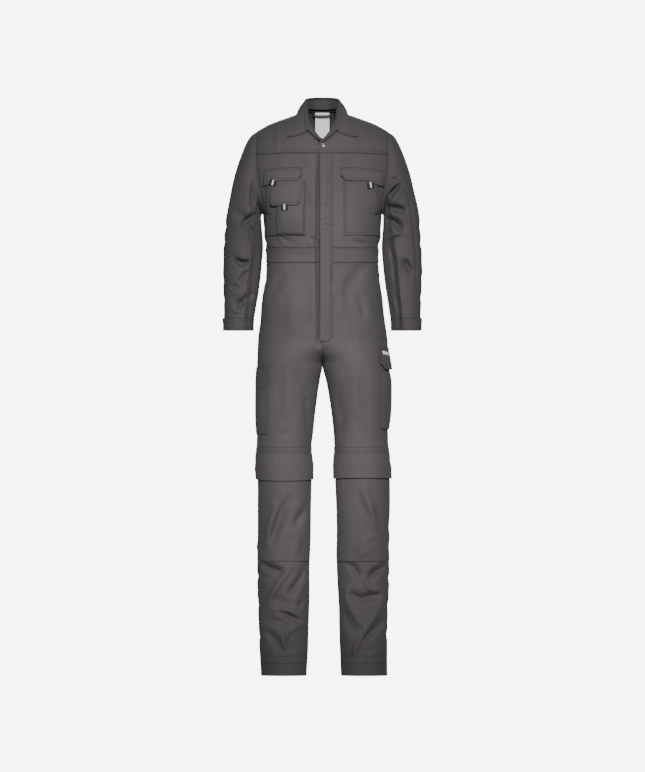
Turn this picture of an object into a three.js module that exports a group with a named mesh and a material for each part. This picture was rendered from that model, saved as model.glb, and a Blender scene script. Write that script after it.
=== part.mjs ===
// A work boiler suit, filled out as when worn, hollow and with no wearer. The front faces -Y, +Z is up, and the
// origin lies between the shoulders, at the height where the wearer carries it. Sizes are in millimetres.
// "Right" and "left" are the wearer's. Every panel is a thin wall on one of three surfaces: the shell of the body and
// legs, the shoulder surface above the yoke seam, and the sleeve.
import * as THREE from "three";

// Cloth and seams
const CLOTH = 2.0; // wall of a main panel
const PATCH = 1.4; // wall of a pocket, flap or patch
const SEAM = 0.27; // each piece stops this far short of its seam line
const BEVEL = 1.1; // the wall's inner face stops this much further back, so turned edges stay apart
const LIFT = 0.8; // gap under a piece that is sewn onto a panel
const DEG = Math.PI / 180;

// Heights of the seams, from the origin
const YOKE_Z = -78;
const WAIST_TOP_Z = -332;
const WAIST_LOW_Z = -373;
const FLY_Z = -586;
const FORK_Z = -645;
const FRONT_RISE_Z = -574; // the centre front seam turns under from here down to the fork
const BACK_RISE_Z = -505;
const KNEE_TOP_Z = -868;
const KNEE_BAND_Z = -956;
const KNEE_LOW_Z = -1179;
const HEM_Z = -1487;
const YOKE_DROOP = 7; // the yoke seam is this much lower at the armhole

// Centre front: the left front overlaps the right one
const PLACKET_EDGE = -6;
const PLACKET_WIDTH = 34;
const UNDERLAP = 12;
const UNDERLAP_DEPTH = 4.9;

// Outline of the body and legs at each height: outer and inner half-widths, depth to the front and back, and y of
// the side seam.
const SHELL = {
  z: [
    -60, -160, -240, -280, -310, -332, -373, -402, -435, -467, -500, -532, -565, -597, -626, -645, -660, -680, -705,
    -735, -780, -830, -870, -915, -960, -1040, -1100, -1180, -1240, -1300, -1360, -1420, -1487,
  ],
  outerRight: [
    172, 166, 160, 157, 155, 152, 151, 151, 156, 162, 165, 167, 172, 174, 175, 176, 176, 176, 176, 176, 176, 176,
    177, 177, 173, 173, 173, 175, 175, 173, 171, 169, 165,
  ],
  outerLeft: [
    172, 166, 160, 158, 156, 152, 151, 153, 157, 162, 165, 169, 174, 177, 178, 178, 178, 178, 178, 178, 177, 177,
    178, 180, 181, 181, 178, 180, 180, 177, 175, 175, 175,
  ],
  innerRight: [
    0.3, 0.3, 0.3, 0.3, 0.3, 0.3, 0.3, 0.3, 0.3, 0.3, 0.3, 0.3, 0.3, 0.3, 0.3, 0.3, 1.5, 5.5, 10, 14, 20, 25, 30,
    30, 30.5, 32, 32.5, 35, 35, 35.5, 37.5, 39, 43,
  ],
  innerLeft: [
    0.3, 0.3, 0.3, 0.3, 0.3, 0.3, 0.3, 0.3, 0.3, 0.3, 0.3, 0.3, 0.3, 0.3, 0.3, 0.3, 2.5, 8, 14, 19, 25.5, 31, 33,
    34.5, 36, 39.5, 40.5, 39, 41.5, 45, 46, 48, 51,
  ],
  front: [
    104, 118, 120, 117, 113, 110, 106, 107, 110, 112, 113, 113, 112, 110, 108, 107, 106, 105, 103, 101, 98, 94, 91,
    88, 84, 77, 71, 66, 64, 62, 61, 61, 61,
  ],
  back: [
    108, 116, 112, 107, 103, 101, 102, 108, 116, 124, 131, 135, 137, 136, 131, 127, 123, 117, 112, 106, 98, 88, 82,
    79, 79, 82, 86, 89, 90, 90, 89, 89, 89,
  ],
  side: [
    10, 10, 9, 6, 3, 1, 2, 4, 6, 8, 9, 10, 10, 10, 9, 8, 7, 5, 3, 1, -1, -3, -4, -4, -2, 3, 7, 11, 13, 14, 14, 14,
    14,
  ],
};
const BODY_SHAPE = { square: 2.5, round: 2.15 }; // exponents of the section: how flat in front, how round at the side
const LEG_SHAPE = { square: 2.15, round: 2.05 };
const ARMHOLE_ROUND = 1.3;

// Armhole: an upright loop from the shoulder point down to the armpit
const ARMHOLE = { topZ: -19, lowZ: -240, midY: 11, front: 71, back: 74, lowX: 160, widen: 18.5, wideAt: 0.7 };
const ARMHOLE_ANGLES = [0, 13, 26, 39, 52, 65.7, 88.5, 111.4, 134.3, 157, 180];
const YOKE_ANGLE = 65.7; // where the yoke seam meets the armhole

// Neckline, from the middle to the side of the neck, and the height of the shoulder seam
const NECK_STEPS = [0, 0.25, 0.5, 0.75, 1];
const NECK_FRONT = { x: [0, 13, 25, 34.5, 39.5], y: [-89, -81, -65, -37, 12], z: [-42, -27, -7, 15, 39.5] };
const NECK_BACK = { x: [0, 12, 23, 33, 39.5], y: [61, 59.5, 53, 38, 12], z: [38, 38.2, 38.8, 39.4, 39.5] };
const NECK_SHARE = 0.2; // share of a shoulder row's columns that ends at the neckline
const RIDGE = { x: [39, 62, 75, 97, 121, 140, 157, 178], z: [39.5, 31.5, 27, 19, 10.5, 3, -5.5, -19] };

// Sleeve: the outermost and innermost point of each ring, y of its middle and its half depth
const SLEEVE = {
  outerX: [196, 214, 235, 250, 261, 267.5, 269, 268, 266, 265.5],
  outerZ: [-32, -67, -128, -190, -250, -325, -385, -436, -486, -524.6],
  innerX: [164, 165.5, 165, 164, 162, 161, 164.5, 169.5, 177, 184],
  innerZ: [-243, -250, -262, -283, -306, -338, -386, -432, -480, -524.6],
  midY: [11, 10, 8, 5, 1, -5, -12, -18, -24, -29],
  depth: [77, 81, 83, 83, 80, 75, 70, 65, 59, 54],
};
const SLEEVE_STEPS = [0, 0.5, 1, 1.7, 2.4, 3.1, 3.8, 4.5, 5.2, 5.9, 6.6, 7.4, 8.2, 9.1, 10];
const CUFF = { topZ: -525, lowZ: -556, outerX: 267.5, innerX: 185.5, midY: -30, depth: 54, flare: -1 };

// The largest folds. x is measured outwards from the centre, turn from level towards the outside going up, and a
// negative depth is a trough. The back's folds are of the same kind as the front's.
const FOLD_COLUMNS = ["side", "face", "x", "z", "turn", "length", "width", "depth"];
const FOLDS = [
  ["right", "front", 112, -1078, -57, 130, 13, -5],
  ["right", "front", 142, -1090, -78, 130, 10, 4],
  ["right", "front", 62, -1058, -55, 80, 12, -4],
  ["right", "front", 134, -1202, 20, 78, 11, -7],
  ["right", "front", 124, -1255, -60, 120, 10, 4],
  ["right", "front", 74, -1244, -48, 84, 11, -5],
  ["right", "front", 84, -1325, 28, 92, 10, -6],
  ["right", "front", 132, -1390, -38, 70, 13, -4],
  ["left", "front", 126, -1040, 72, 130, 12, 4],
  ["left", "front", 118, -1146, 40, 70, 12, 4],
  ["left", "front", 142, -1207, 38, 70, 12, -5],
  ["left", "front", 92, -1196, -58, 60, 11, -4],
  ["left", "front", 116, -1272, 2, 110, 17, -7],
  ["left", "front", 140, -1310, 66, 110, 11, 4],
  ["left", "front", 130, -1382, 52, 120, 12, -5],
  ["right", "back", 105, -905, 8, 130, 18, -6],
  ["right", "back", 95, -985, -20, 110, 16, -5],
  ["right", "back", 120, -1240, 24, 110, 15, -5],
  ["right", "back", 90, -1350, -28, 100, 14, -5],
  ["left", "back", 108, -915, -10, 130, 18, -6],
  ["left", "back", 118, -1000, 22, 110, 16, -5],
  ["left", "back", 100, -1260, -22, 110, 15, -5],
  ["left", "back", 122, -1372, 26, 100, 14, -5],
  ["right", "back", 70, -700, -32, 150, 20, -6],
  ["left", "back", 70, -705, -30, 150, 20, -6],
  ["right", "front", 215, -250, 30, 80, 14, -6],
  ["right", "front", 218, -372, 4, 66, 12, -5],
  ["right", "front", 222, -485, 40, 78, 12, -5],
  ["left", "front", 200, -225, -2, 84, 15, -6],
  ["left", "front", 205, -262, -32, 70, 14, -5],
  ["left", "front", 226, -385, -50, 84, 13, -5],
  ["right", "back", 214, -300, -20, 90, 15, -5],
  ["right", "back", 220, -420, 18, 84, 14, -5],
  ["left", "back", 214, -310, -22, 90, 15, -5],
  ["left", "back", 222, -430, 20, 84, 14, -5],
].map((row) => Object.fromEntries(row.map((value, i) => [FOLD_COLUMNS[i], value])));

// Rows and columns of the panels
const SHELL_ROWS = {
  waist: [WAIST_TOP_Z, -352, WAIST_LOW_Z],
  rise: [WAIST_LOW_Z, -405, -440, -475, -510, -540, -562, -580, -597, -612, -625, -635, -642, FORK_Z],
  leg: [
    -655, -672, -695, -725, -760, -795, -832, KNEE_TOP_Z, -898, -928, KNEE_BAND_Z, -990, -1025, -1060, -1096, -1132,
    KNEE_LOW_Z, -1204, -1229, -1254, -1279, -1304, -1330, -1358, -1388, -1420, -1453, HEM_Z,
  ],
};
const LEG_SHARES = [0, 0.08, 0.2, 0.33, 0.46, 0.6, 0.74, 0.87, 1];
const YOKE_COLUMNS = [0, 0.044, 0.084, 0.12, 0.152, 0.176, 0.2, 0.32, 0.45, 0.58, 0.7, 0.81, 0.91, 1];
const FRONT_COLUMNS = [0, 0.074, 0.13, 0.2, 0.32, 0.45, 0.58, 0.7, 0.81, 0.91, 1];
const BACK_COLUMNS = [0, 0.09, 0.15, 0.2, 0.33, 0.47, 0.61, 0.74, 0.87, 1];

const SIDES = { right: -1, left: 1 };
const mix = THREE.MathUtils.lerp;
const smooth = (value, from, to) => {
  const t = Math.min(1, Math.max(0, (value - from) / (to - from)));
  return t * t * (3 - 2 * t);
};

// A smooth curve through a table's column, read at any place along its key column.
function tableAt(keys, values, key) {
  const falling = keys[0] > keys[keys.length - 1];
  const order = falling ? (a, b) => a >= b : (a, b) => a <= b;
  let i = keys.findIndex((_, n) => n + 1 < keys.length && order(keys[n], key) && order(key, keys[n + 1]));
  if (i < 0) i = order(keys[0], key) ? keys.length - 2 : 0;
  const span = keys[i + 1] - keys[i];
  const t = Math.min(1, Math.max(0, (key - keys[i]) / span));
  const slope = (n) => {
    const [before, after] = [Math.max(0, n - 1), Math.min(keys.length - 1, n + 1)];
    return ((values[after] - values[before]) / (keys[after] - keys[before])) * span;
  };
  const [t2, t3] = [t * t, t * t * t];
  return (
    (2 * t3 - 3 * t2 + 1) * values[i] +
    (t3 - 2 * t2 + t) * slope(i) +
    (3 * t2 - 2 * t3) * values[i + 1] +
    (t3 - t2) * slope(i + 1)
  );
}

// How far the folds push the surface out at a point of the front or back of one side.
function foldAt(side, face, x, z) {
  let push = 0;
  for (const fold of FOLDS) {
    if (SIDES[fold.side] !== side || fold.face !== face) continue;
    const [dx, dz] = [x - fold.x, z - fold.z];
    const [cos, sin] = [Math.cos(fold.turn * DEG), Math.sin(fold.turn * DEG)];
    const along = (dx * cos + dz * sin) / (fold.length / 2);
    const across = (dz * cos - dx * sin) / fold.width;
    if (Math.abs(along) < 1) push += fold.depth * (1 - along ** 2) ** 2 * Math.exp(-(across ** 2));
  }
  return push;
}

// The armhole loop: 0 at the shoulder, 180 at the armpit, positive towards the front.
function armholeZ(angle) {
  const middle = (ARMHOLE.topZ + ARMHOLE.lowZ) / 2;
  return middle + ((ARMHOLE.topZ - ARMHOLE.lowZ) / 2) * Math.cos(angle * DEG);
}
const armholeX = (z) =>
  ARMHOLE.lowX +
  ARMHOLE.widen * smooth((z - ARMHOLE.lowZ) / (ARMHOLE.topZ - ARMHOLE.lowZ), 0, ARMHOLE.wideAt);
function armholePoint(side, angle) {
  const z = armholeZ(angle);
  const sway = Math.sin(angle * DEG);
  const y = ARMHOLE.midY - sway * (sway > 0 ? ARMHOLE.front : ARMHOLE.back);
  return new THREE.Vector3(side * armholeX(z), y, z);
}

// One level section of the shell, for one side and face.
function section(side, isFront, z) {
  const read = (column) => tableAt(SHELL.z, SHELL[column], z);
  const rise = isFront ? FRONT_RISE_Z : BACK_RISE_Z;
  const under = Math.min(1, Math.max(0, (rise - z) / (rise - FORK_Z)));
  const legShare = smooth(z, -470, FORK_Z);
  const square = mix(BODY_SHAPE.square, LEG_SHAPE.square, legShare);
  const armShare = smooth(z, ARMHOLE.lowZ, ARMHOLE.lowZ + 90);
  const round = mix(mix(BODY_SHAPE.round, LEG_SHAPE.round, legShare), ARMHOLE_ROUND, armShare);
  // The centre seam turns under along a quarter of an ellipse.
  const turned = (1 - (1 - under ** 2) ** (round / 2)) ** (1 / square);
  const split = (2 * turned) / (1 + turned);
  const inner = read(side < 0 ? "innerRight" : "innerLeft");
  let outer = read(side < 0 ? "outerRight" : "outerLeft");
  let edge = read("side");
  if (z > ARMHOLE.lowZ) {
    const middle = (ARMHOLE.topZ + ARMHOLE.lowZ) / 2;
    const level = Math.min(1, Math.abs(z - middle) / ((ARMHOLE.topZ - ARMHOLE.lowZ) / 2));
    const reach = Math.sqrt(1 - level ** 2);
    outer = armholeX(z);
    edge = ARMHOLE.midY + reach * (isFront ? -ARMHOLE.front : ARMHOLE.back);
  }
  const centre = (split * (inner + outer)) / 2;
  return {
    inner,
    outer,
    centre,
    reach: outer - centre,
    edge,
    peak: isFront ? -read("front") : read("back"),
    square,
    round,
  };
}

// A point of the shell. angle is 0 at the middle of the front, 90 at the side seam and 180 at the middle of the back.
function shellPoint(side, angle, z) {
  const isFront = Math.cos(angle * DEG) >= 0;
  const s = section(side, isFront, z);
  const across = Math.sin(angle * DEG);
  const x = s.centre + s.reach * across;
  const fall = Math.max(0, 1 - Math.abs(across) ** s.square) ** (1 / s.round);
  let y = s.edge + (s.peak - s.edge) * fall;
  const fade = Math.min(1, 1.4 * fall);
  const push = fade * foldAt(side, isFront ? "front" : "back", x, z);
  y += isFront ? underlapDepth(side, x, z) - push : push;
  return new THREE.Vector3(side * x, y, z);
}

// The right front's edge runs under the left one, as far down as the fly.
function underlapDepth(side, x, z) {
  return side < 0 ? UNDERLAP_DEPTH * smooth(-x, -19, -8) * smooth(z, FLY_Z - 11, FLY_Z + 6) : 0;
}

// The angle at which the shell has a given x, on its front or back.
function angleOf(side, isFront, x, z) {
  const s = section(side, isFront, z);
  const turn = Math.asin(Math.min(1, Math.max(-1, (x - s.centre) / s.reach))) / DEG;
  return isFront ? turn : 180 - turn;
}

// The shell's outward direction at a point.
function shellNormal(side, angle, z) {
  const [a, b] = [Math.min(179.5, angle + 0.5), Math.max(-89.5, angle - 0.5)];
  const around = shellPoint(side, a, z).sub(shellPoint(side, b, z));
  const upward = shellPoint(side, angle, z + 1).sub(shellPoint(side, angle, z - 1));
  return around.cross(upward).multiplyScalar(side).normalize();
}

// Turns a grid of outer points into a closed wall. Border points first move back from the seam line, further on the
// inner face. A wall that wraps joins its last column to its first.
function wall(name, grid, thickness, options = {}) {
  const { outward = 1, wraps = false, gap = SEAM, bevel = BEVEL, finish = TWILL } = options;
  const [rows, columns] = [grid.length, grid[0].length];
  const column = (j) => (wraps ? (j + columns) % columns : Math.min(columns - 1, Math.max(0, j)));
  const at = (points, i, j) => points[i][column(j)];
  const pulled = (distance) => {
    const moved = grid.map((row) => row.map((p) => p.clone()));
    const pull = (i, j, towardsI, towardsJ) => {
      const step = grid[towardsI][towardsJ].clone().sub(grid[i][j]);
      moved[i][j].addScaledVector(step.normalize(), Math.min(distance, step.length() * 0.9 || distance));
    };
    for (let j = 0; j < columns; j++) {
      pull(0, j, 1, j);
      pull(rows - 1, j, rows - 2, j);
    }
    if (wraps) return moved;
    for (let i = 0; i < rows; i++) {
      pull(i, 0, i, 1);
      pull(i, columns - 1, i, columns - 2);
    }
    return moved;
  };
  const outer = pulled(gap);
  const inner = pulled(gap + bevel);
  const normalAt = (i, j) => {
    const across = at(grid, i, j + 1).clone().sub(at(grid, i, j - 1));
    const down = grid[Math.min(rows - 1, i + 1)][j].clone().sub(grid[Math.max(0, i - 1)][j]);
    return across.cross(down).multiplyScalar(-outward).normalize();
  };
  const positions = [];
  for (const [face, depth] of [
    [outer, 0],
    [inner, thickness],
  ]) {
    for (let i = 0; i < rows; i++) {
      for (let j = 0; j < columns; j++) {
        const p = face[i][j].clone().addScaledVector(normalAt(i, j), -depth);
        positions.push(p.x, p.y, p.z);
      }
    }
  }
  // Each four-sided facet is cut along its shorter diagonal, alike on the outer and the inner face.
  const offset = rows * columns;
  const corner = (id) => outer[Math.floor((id % offset) / columns)][id % columns];
  const faces = [];
  const quad = (a, b, c, d) => {
    const cutFirst = corner(a).distanceTo(corner(c)) <= corner(b).distanceTo(corner(d)) + 1e-3;
    const cut = cutFirst ? [a, b, c, a, c, d] : [a, b, d, b, c, d];
    faces.push(outward > 0 ? cut : cut.reverse());
  };
  const id = (i, j) => i * columns + ((j + columns) % columns);
  const lastColumn = wraps ? columns : columns - 1;
  for (let i = 0; i + 1 < rows; i++) {
    for (let j = 0; j < lastColumn; j++) {
      quad(id(i, j), id(i + 1, j), id(i + 1, j + 1), id(i, j + 1));
      quad(offset + id(i, j), offset + id(i, j + 1), offset + id(i + 1, j + 1), offset + id(i + 1, j));
    }
  }
  for (let j = 0; j < lastColumn; j++) {
    quad(id(0, j), id(0, j + 1), offset + id(0, j + 1), offset + id(0, j));
    const low = rows - 1;
    quad(id(low, j), offset + id(low, j), offset + id(low, j + 1), id(low, j + 1));
  }
  if (!wraps) {
    for (let i = 0; i + 1 < rows; i++) {
      const end = columns - 1;
      quad(id(i, 0), offset + id(i, 0), offset + id(i + 1, 0), id(i + 1, 0));
      quad(id(i, end), id(i + 1, end), offset + id(i + 1, end), offset + id(i, end));
    }
  }
  const geometry = new THREE.BufferGeometry();
  geometry.setAttribute("position", new THREE.Float32BufferAttribute(positions, 3));
  geometry.setIndex(faces.flat());
  return named(name, geometry, finish);
}

// Finishes
const TWILL = new THREE.MeshStandardMaterial({ color: 0x66625f, roughness: 0.85, metalness: 0 });
const LABEL_CLOTH = new THREE.MeshStandardMaterial({ color: 0xe8e6e2, roughness: 0.7, metalness: 0 });
const BLACK_TAPE = new THREE.MeshStandardMaterial({ color: 0x151515, roughness: 0.8, metalness: 0 });
const SNAP_NICKEL = new THREE.MeshStandardMaterial({ color: 0xb9b6ae, roughness: 0.35, metalness: 0.9 });
const SNAP_BRASS = new THREE.MeshStandardMaterial({ color: 0xa58a4a, roughness: 0.4, metalness: 0.9 });
function named(name, geometry, material) {
  const mesh = new THREE.Mesh(geometry, material);
  mesh.name = name;
  return mesh;
}

const suit = new THREE.Group();

// Angle of a panel's inner boundary: the fly overlap, the centre seam or the inseam.
function innerAngle(side, isFront, z) {
  if (z <= FORK_Z) return isFront ? -90 : 270;
  const overlap = side > 0 ? PLACKET_EDGE : -UNDERLAP;
  const inFly = isFront ? smooth(z, FLY_Z + 6, FLY_Z + 24) : 0;
  return angleOf(side, isFront, mix(section(side, isFront, z).inner, overlap, inFly), z);
}

// A grid on the shell between a panel's inner boundary and the side seam or armhole.
function panelAngle(side, isFront, share, z) {
  const sideSeam = 90 + (isFront ? -1e-6 : 1e-6); // the front's and the back's side of the seam
  return mix(innerAngle(side, isFront, z), sideSeam, share);
}
function panelGrid(side, isFront, heights, shares, droopAt = () => 0) {
  return heights.map((height) =>
    shares.map((share) => {
      const z = height - droopAt(height) * share ** 2;
      return shellPoint(side, panelAngle(side, isFront, share, z), z);
    }),
  );
}

// Fronts: rows above the armpit end at the armhole's own heights.
const yokeDroop = (height) => YOKE_DROOP * smooth(height, ARMHOLE.lowZ, YOKE_Z);
function heightOfArmhole(angle) {
  let height = armholeZ(angle);
  for (let i = 0; i < 20; i++) height = armholeZ(angle) + yokeDroop(height);
  return height;
}
const ARM_ROWS = ARMHOLE_ANGLES.filter((angle) => angle >= YOKE_ANGLE).map(heightOfArmhole);
const CHEST_ROWS = [...ARM_ROWS, -262, -285, -309, WAIST_TOP_Z];

function frontPanel(side) {
  return panelGrid(side, true, CHEST_ROWS, FRONT_COLUMNS, yokeDroop);
}

// The shoulder surface rises from the yoke seam and turns over to the neckline and the shoulder seam.
function topEdge(side, isFront, share, along) {
  if (share <= NECK_SHARE) {
    const q = share / NECK_SHARE;
    const read = (axis) => tableAt(NECK_STEPS, (isFront ? NECK_FRONT : NECK_BACK)[axis], q);
    const x = side * read("x") + along * (1 - q) ** 4;
    const under = isFront ? underlapDepth(side, side * x, NECK_FRONT.z[0]) : 0;
    return new THREE.Vector3(x, read("y") + 2.6 * under, read("z"));
  }
  const spread = (value) => Math.sin(value * 90 * DEG);
  const q = (spread(share) - spread(NECK_SHARE)) / (1 - spread(NECK_SHARE));
  const x = mix(NECK_FRONT.x.at(-1), armholeX(ARMHOLE.topZ), q);
  const y = mix(NECK_FRONT.y.at(-1), ARMHOLE.midY, q);
  return new THREE.Vector3(side * x, y, tableAt(RIDGE.x, RIDGE.z, x));
}

// rise is 0 at the yoke seam and 1 at the top edge.
function shoulderPoint(side, isFront, share, rise) {
  const height = heightOfArmhole(YOKE_ANGLE);
  const z = height - yokeDroop(height) * share ** 2;
  const angle = panelAngle(side, isFront, share, z);
  const low = shellPoint(side, angle, z);
  const below = shellPoint(side, angle, z - 8);
  const top = topEdge(side, isFront, share, low.x);
  const length = low.distanceTo(top);
  const leave = low.clone().sub(below).normalize().multiplyScalar(length);
  const back = isFront ? 1 : -1;
  const atNeck = share <= NECK_SHARE ? 1 - share / NECK_SHARE : 0;
  const inward = 0.55 * Math.sin(Math.PI * Math.min(1, share / NECK_SHARE)) * (isFront ? 1 : 0.6);
  const arrive = new THREE.Vector3(
    -side * inward,
    back * mix(1, isFront ? 0.35 : 0.8, atNeck),
    mix(0.12, isFront ? 0.9 : 0.6, atNeck),
  );
  arrive.normalize().multiplyScalar(length);
  const [t2, t3] = [rise * rise, rise * rise * rise];
  const point = low.clone().multiplyScalar(2 * t3 - 3 * t2 + 1);
  point.addScaledVector(leave, t3 - 2 * t2 + rise);
  point.addScaledVector(top, 3 * t2 - 2 * t3);
  point.addScaledVector(arrive, t3 - t2);
  return point;
}

// Above the yoke seam the last column follows the armhole loop exactly.
function shoulderGrid(side, isFront, shares) {
  const turns = ARMHOLE_ANGLES.filter((angle) => angle <= YOKE_ANGLE);
  return turns.map((angle) => {
    const rise = 1 - angle / YOKE_ANGLE;
    const end = shoulderPoint(side, isFront, 1, rise);
    const missed = armholePoint(side, isFront ? angle : -angle).sub(end);
    return shares.map((share) =>
      shoulderPoint(side, isFront, share, rise).addScaledVector(missed, share ** 5),
    );
  });
}

for (const [word, side] of Object.entries(SIDES)) {
  suit.add(wall(`front_${word}`, frontPanel(side), CLOTH, { outward: side }));
  suit.add(wall(`yoke_${word}`, shoulderGrid(side, true, YOKE_COLUMNS), CLOTH, { outward: side }));
}

// Back: one piece from the waistband to the shoulder seams.
function backHalf(side) {
  const low = panelGrid(side, false, CHEST_ROWS.slice(1), BACK_COLUMNS, yokeDroop);
  return [...shoulderGrid(side, false, BACK_COLUMNS), ...low];
}
function mirroredHalves(makeHalf) {
  const [right, left] = [makeHalf(-1), makeHalf(1)];
  return right.map((row, i) => {
    const middle = left[i][0].clone().add(row[0]).multiplyScalar(0.5);
    return [...row.slice(1).reverse(), middle, ...left[i].slice(1)];
  });
}
suit.add(wall("back", mirroredHalves(backHalf), CLOTH, { outward: -1 }));

// Waistband
for (const [word, side] of Object.entries(SIDES)) {
  const grid = panelGrid(side, true, SHELL_ROWS.waist, FRONT_COLUMNS);
  suit.add(wall(`waistband_front_${word}`, grid, CLOTH, { outward: side }));
}
const waistBackHalf = (side) => panelGrid(side, false, SHELL_ROWS.waist, BACK_COLUMNS);
suit.add(wall("waistband_back", mirroredHalves(waistBackHalf), CLOTH, { outward: -1 }));

// Trouser legs, front and back of each
const LEG_HEIGHTS = [...SHELL_ROWS.rise, ...SHELL_ROWS.leg];
for (const [word, side] of Object.entries(SIDES)) {
  for (const isFront of [true, false]) {
    const grid = panelGrid(side, isFront, LEG_HEIGHTS, LEG_SHARES);
    const outward = isFront ? side : -side;
    suit.add(wall(`leg_${isFront ? "front" : "back"}_${word}`, grid, CLOTH, { outward }));
  }
}

// Sleeves
function sleeveRing(side, step) {
  const read = (column, at) => SLEEVE[column][Math.min(SLEEVE[column].length - 1, at)];
  const angles = [...ARMHOLE_ANGLES, ...ARMHOLE_ANGLES.slice(1, -1).map((a) => 360 - a).reverse()];
  const ringPoint = (ring, angle) => {
    if (ring <= 0) return armholePoint(side, angle > 180 ? angle - 360 : angle);
    const at = ring - 1;
    const [outerX, outerZ] = [read("outerX", at), read("outerZ", at)];
    const [innerX, innerZ] = [read("innerX", at), read("innerZ", at)];
    const [cos, sin] = [Math.cos(angle * DEG), Math.sin(angle * DEG)];
    const x = mix(innerX, outerX, (1 + cos) / 2);
    const z = mix(innerZ, outerZ, (1 + cos) / 2);
    return new THREE.Vector3(side * x, read("midY", at) - read("depth", at) * sin, z);
  };
  const last = SLEEVE.outerX.length;
  return angles.map((angle) => {
    const ring = Math.min(last - 1, Math.floor(step));
    const t = step - ring;
    const around = [-1, 0, 1, 2].map((d) => ringPoint(Math.min(last, Math.max(0, ring + d)), angle));
    const point = new THREE.Vector3();
    const weights = [
      -0.5 * t + t ** 2 - 0.5 * t ** 3,
      1 - 2.5 * t ** 2 + 1.5 * t ** 3,
      0.5 * t + 2 * t ** 2 - 1.5 * t ** 3,
      -0.5 * t ** 2 + 0.5 * t ** 3,
    ];
    around.forEach((p, i) => point.addScaledVector(p, weights[i]));
    const facing = Math.sin(angle * DEG);
    const face = facing > 0 ? "front" : "back";
    const away = Math.sqrt(Math.abs(facing)) * smooth(step, 1, 2.5) * smooth(step, last, last - 1);
    point.y -= Math.sign(facing) * away * foldAt(side, face, side * point.x, point.z);
    return point;
  });
}
for (const [word, side] of Object.entries(SIDES)) {
  const rings = SLEEVE_STEPS.map((step) => sleeveRing(side, step));
  suit.add(wall(`sleeve_${word}`, rings, CLOTH, { outward: -side, wraps: true }));
  const cuffRing = (share) =>
    Array.from({ length: 20 }, (_, i) => {
      const [cos, sin] = [Math.cos((i * 18) * DEG), Math.sin((i * 18) * DEG)];
      const half = (CUFF.outerX - CUFF.innerX) / 2 + CUFF.flare * share;
      const x = (CUFF.outerX + CUFF.innerX) / 2 + half * cos;
      return new THREE.Vector3(side * x, CUFF.midY - CUFF.depth * sin, mix(CUFF.topZ, CUFF.lowZ, share));
    });
  const rim = [0, 0.5, 1].map(cuffRing);
  suit.add(wall(`cuff_${word}`, rim, CLOTH, { outward: -side, wraps: true }));
}

// Evenly spaced values, both ends included
const spaced = (from, to, steps) => Array.from({ length: steps + 1 }, (_, i) => mix(from, to, i / steps));

// A piece sewn onto the shell. Its columns stand at the places in across, which are x or, with byAngle, angles.
// Its rows are shares of the way from top to bottom. lift is how far its outer face stands off the shell.
function patchGrid({ side, across, byAngle = false, rows, top, bottom, lift }) {
  return rows.map((v) =>
    across.map((place, j) => {
      const u = j / (across.length - 1);
      const z = mix(top(place), bottom(place), v);
      const angle = byAngle ? place : angleOf(side, true, place, z);
      const height = lift(u, v, place, z);
      return shellPoint(side, angle, z).addScaledVector(shellNormal(side, angle, z), height);
    }),
  );
}
const dome = (u, v) => (1 - (2 * u - 1) ** 4) * (1 - (2 * v - 1) ** 4);
const level = (z) => () => z;
const STACK = LIFT + PATCH; // from a panel's face to the face of what is sewn on it
function addPatch(name, side, options, edges = { gap: 0, bevel: 0.3 }) {
  const thickness = options.thickness ?? PATCH;
  suit.add(wall(name, patchGrid({ side, ...options }), thickness, { outward: side, ...edges }));
}

// Placket over the centre front, from the yoke seam to the foot of the fly
addPatch("placket", 1, {
  across: spaced(PLACKET_EDGE, PLACKET_EDGE + PLACKET_WIDTH, 3),
  rows: spaced(0, 1, 26),
  top: level(YOKE_Z + 2),
  bottom: (x) => FLY_Z + 28 + 12 * smooth(x, 8, PLACKET_EDGE + PLACKET_WIDTH),
  lift: () => STACK,
});

// Chest pockets and flaps. A flap's lower edge is level, cut off at its inner corner and drawn down at its outer end.
const CHEST = {
  right: { side: -1, pocketFrom: 45, bulge: 5, flapFrom: 53, flapTo: 154 },
  left: { side: 1, pocketFrom: 57, bulge: 2.5, flapFrom: 48, flapTo: 160 },
};
const CHEST_POCKET = { to: 150, top: -150, low: -300 };
const CHEST_FLAP = { top: -116, low: -153, corner: 14, slope: 6, drawn: 12, proud: 2.5 };
function chestPocketLift(chest, x, z) {
  const clamp = (value) => Math.min(1, Math.max(0, value));
  const u = clamp((x - chest.pocketFrom) / (CHEST_POCKET.to - chest.pocketFrom));
  const v = clamp((z - CHEST_POCKET.top) / (CHEST_POCKET.low - CHEST_POCKET.top));
  return STACK + chest.bulge * dome(u, Math.min(1, 0.35 + 0.65 * v));
}
for (const [word, chest] of Object.entries(CHEST)) {
  addPatch(`chest_pocket_${word}`, chest.side, {
    across: spaced(chest.pocketFrom, CHEST_POCKET.to, 8),
    rows: spaced(0, 1, 7),
    top: level(CHEST_POCKET.top),
    bottom: level(CHEST_POCKET.low),
    lift: (u, v, x, z) => chestPocketLift(chest, x, z),
  });
  addPatch(`chest_flap_${word}`, chest.side, {
    across: spaced(chest.flapFrom, chest.flapTo, 10),
    rows: spaced(0, 1, 4),
    top: (x) => CHEST_FLAP.top - CHEST_FLAP.slope * smooth(x, 90, 160),
    bottom: (x) =>
      CHEST_FLAP.low +
      CHEST_FLAP.corner * (1 - smooth(x, chest.flapFrom, chest.flapFrom + 17)) -
      CHEST_FLAP.drawn * smooth(x, 115, 158),
    lift: (u, v) => STACK + 0.3 + 2 * STACK * smooth(v, 0, 0.4) + CHEST_FLAP.proud * v * v,
  });
}

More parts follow.
